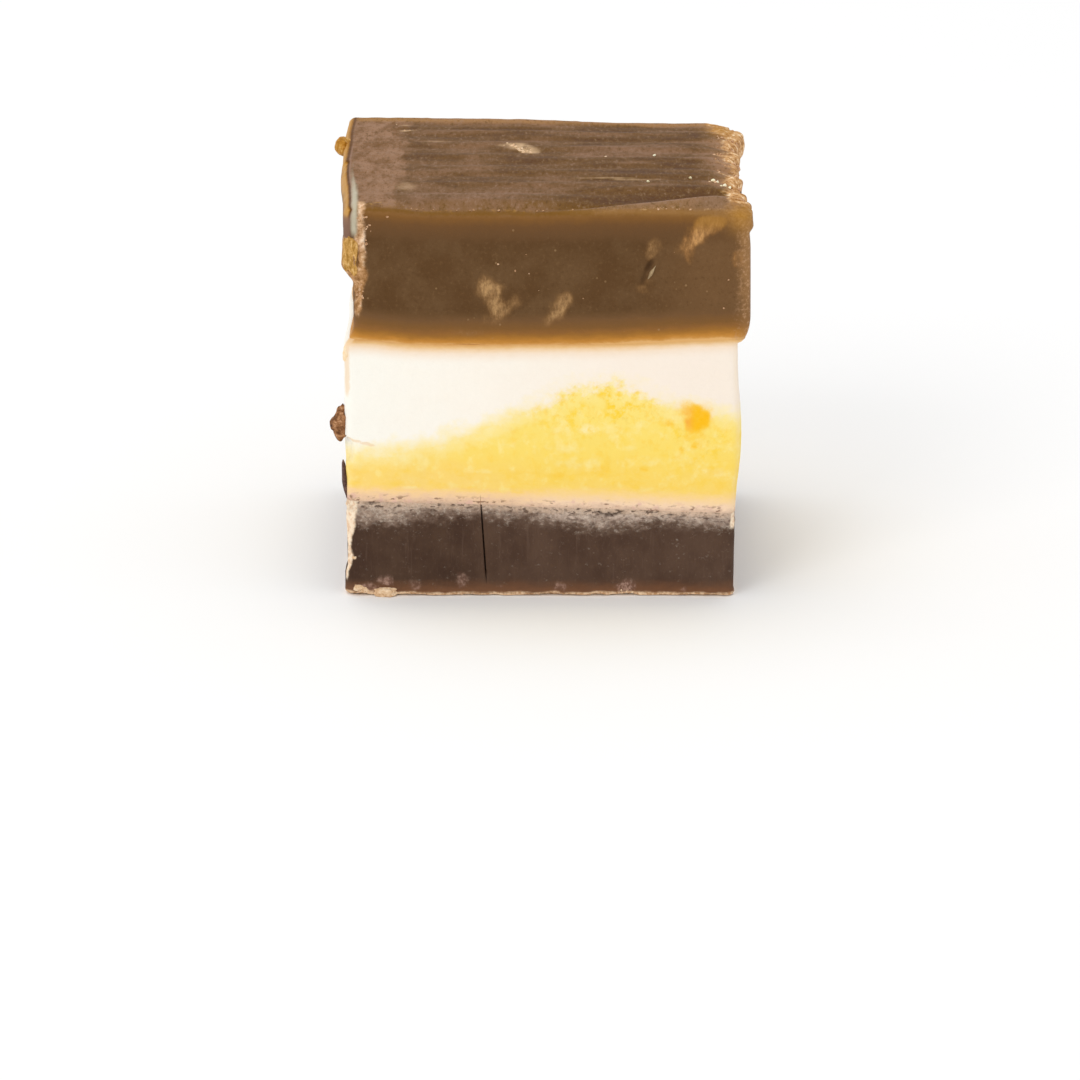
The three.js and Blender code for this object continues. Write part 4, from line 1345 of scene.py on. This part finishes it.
def crumbs_and_flakes():
    pinkish = crumb_finish("broken_milk_chocolate", [
        (0.3, (140, 100, 68)), (0.44, (184, 141, 103)), (0.56, (214, 172, 134)), (0.7, (244, 210, 176))])
    golden = crumb_finish("golden_flake", [
        (0.3, (128, 88, 32)), (0.42, (176, 130, 60)), (0.55, (208, 160, 90)), (0.7, (240, 202, 140))],
        size=(0.26, 0.4, 0.7))
    brown = crumb_finish("brown_crumb", [
        (0.3, (70, 42, 26)), (0.45, (124, 82, 50)), (0.58, (172, 122, 82)), (0.72, (216, 172, 134))])
    plum = crumb_finish("dark_chocolate_sliver", [
        (0.3, (66, 46, 42)), (0.5, (96, 72, 66)), (0.7, (140, 112, 100))])
    cream = crumb_finish("cream_crumb", [
        (0.3, (200, 158, 116)), (0.48, (232, 196, 156)), (0.7, (252, 228, 196))])
    orange = crumb_finish("orange_crumb", [
        (0.3, (150, 98, 18)), (0.5, (186, 128, 42)), (0.7, (220, 174, 96))], roughness=0.5)
    sugar = crumb_finish("sugar_grain", [
        (0.3, (236, 214, 160)), (0.5, (255, 246, 208)), (0.7, (255, 252, 236))], roughness=0.4)
    peach = crumb_finish("peach_smear", [
        (0.3, (250, 210, 160)), (0.5, (253, 224, 182)), (0.7, (253, 236, 208))])
    pale = crumb_finish("pit_flake_skin", [
        (0.3, (118, 92, 62)), (0.5, (152, 126, 92)), (0.7, (184, 160, 124))])
    shapes = crumb_shapes()
    scatter("rim_crumbs", shapes, rim_crumbs(), pinkish)
    scatter("edge_crumbs", shapes, edge_crumbs(), pinkish)
    scatter("torn_edge_crumbs", shapes, torn_edge_crumbs(), pinkish)
    scatter("top_flake_crumbs", shapes, flake_crumbs(), cream)
    scatter("foot_crumbs", shapes, foot_crumbs(), cream)
    sugar_places = [(*at_top(x, y, -0.04), size) for x, y, size in SUGAR_GRAINS]
    scatter("sugar_grains", shapes, sugar_places, sugar)
    for shape in shapes:
        bpy.data.objects.remove(shape)

    single_pieces = (
        (lump("torn_flake", (-17.05, -15.3, 31.7), (0.62, 0.75, 1.6), 5, boxy=0.35,
              rough=0.24, grit=(0.4, 0.5, 1.3), start=2), golden, "milk_chocolate"),
        (lump("brown_side_crumb", (-18.1, -14.9, 16.3), (0.85, 0.7, 1.8), 5, boxy=0.9,
              taper=0.6, rough=0.24, grit=0.7, lean=0.08, start=4), brown, "dark_chocolate"),
        (lump("dark_side_sliver", (-17.8, -14.9, 10.6), (0.3, 0.5, 1.8), 4, taper=0.5,
              rough=0.15, grit=(0.4, 0.4, 1.2), lean=-0.1, start=14), plum, "dark_chocolate"),
        (lump("orange_side_crumb", (-18.5, 7.0, 35.65), (0.72, 0.95, 0.9), 4,
              rough=0.2, grit=0.6, start=6), orange, "milk_chocolate"),
        (lump("peach_side_crumb", (-17.6, -15.3, 22.6), (0.35, 0.4, 0.75), 4, taper=0.3,
              rough=0.2, start=8), peach, "white_fudge"),
        (lump("pit_flake", (9.4, -15.9, 30.2), (0.16, 0.17, 0.75), 4, taper=0.6,
              rough=0.15, lean=0.5, start=3), pale, "milk_chocolate"),
        (lump("foot_flake", (-14.3, -15.85, 0.42), (1.05, 0.4, 0.4), 5, boxy=0.8,
              rough=0.38, grit=0.5, lean=-0.06, start=9), cream, "dark_chocolate"),
        (lump("corner_foot_flake", (-16.4, -15.55, 0.6), (0.9, 0.4, 0.34), 5, boxy=0.85,
              rough=0.38, grit=0.5, lean=0.3, start=12), cream, "dark_chocolate"))
    for piece, material, slot in single_pieces:
        finish_piece(piece, material, smooth_up_to=CRUMB_SMOOTHING)


# ---- The studio, in metres and watts ------------------------------------------------------
FLOOR_SIZE = 6
FLOOR_WHITE = (0.95, 0.95, 0.95, 1)
SURROUND_STRENGTH = 0.8
SOFT_BOXES = (  # name, place, size and power
    ("overhead", (-0.2, 0.25, 1.2), 0.8, 3.2),
    ("key", (-0.55, -0.8, 0.75), 0.5, 2.6),
)
CAMERA_PLACE = (0.00128, -0.47302, 0.16174)
CAMERA_AIM = (-0.00349, 0.94616, -0.32367)
CAMERA_LENS = 180  # millimetres, as the sensor
CAMERA_SENSOR = 36


def studio_floor():
    bpy.ops.object.select_all(action="DESELECT")
    bpy.ops.mesh.primitive_plane_add(size=FLOOR_SIZE, location=(0, 0, 0))
    floor = bpy.context.object
    floor.name = "studio_floor"
    material = bpy.data.materials.new("pale_floor")
    material.use_nodes = True
    shader = material.node_tree.nodes["Principled BSDF"]
    shader.inputs["Base Color"].default_value = FLOOR_WHITE
    shader.inputs["Roughness"].default_value = 1
    shader.inputs["Specular IOR Level"].default_value = 0
    floor.data.materials.append(material)


def soft_box(name, place, size, power):
    light = bpy.data.lights.new(name, "AREA")
    light.size = size
    light.energy = power
    lamp = bpy.data.objects.new(name, light)
    lamp.location = place
    aim = Vector((0, 0, HEIGHT / 2 * MM)) - lamp.location
    lamp.rotation_euler = aim.to_track_quat("-Z", "Y").to_euler()
    bpy.context.scene.collection.objects.link(lamp)


def studio():
    studio_floor()
    world = bpy.data.worlds.new("white_surround")
    world.use_nodes = True
    surround = world.node_tree.nodes["Background"]
    surround.inputs["Color"].default_value = (1, 1, 1, 1)
    surround.inputs["Strength"].default_value = SURROUND_STRENGTH
    bpy.context.scene.world = world
    for name, place, size, power in SOFT_BOXES:
        soft_box(name, place, size, power)
    bpy.context.scene.view_settings.view_transform = "Standard"


def camera():
    data = bpy.data.cameras.new("camera")
    data.lens = CAMERA_LENS
    data.sensor_width = CAMERA_SENSOR
    data.clip_start = 0.05
    data.clip_end = 20
    holder = bpy.data.objects.new("camera", data)
    holder.location = CAMERA_PLACE
    holder.rotation_euler = Vector(CAMERA_AIM).to_track_quat("-Z", "Y").to_euler()
    bpy.context.scene.collection.objects.link(holder)
    bpy.context.scene.camera = holder


camera()
studio()
milk_chocolate_slab(milk_chocolate_finish())
soft_middle_layer(
    "white_fudge_middle", SWIRL_HEIGHT, MILK_SEAM_HEIGHT, WHITE_ROWS, swirl, milk_seam,
    soft_middle_finish("white_fudge"), "white_fudge_layer")
soft_middle_layer(
    "yellow_fudge_middle", DARK_SEAM_HEIGHT, YELLOW_BLOCK_HEIGHT, YELLOW_ROWS, dark_seam, swirl,
    soft_middle_finish("yellow_fudge"), "yellow_fudge_layer")
dark_chocolate_base(dark_chocolate_finish())
crumbs_and_flakes()
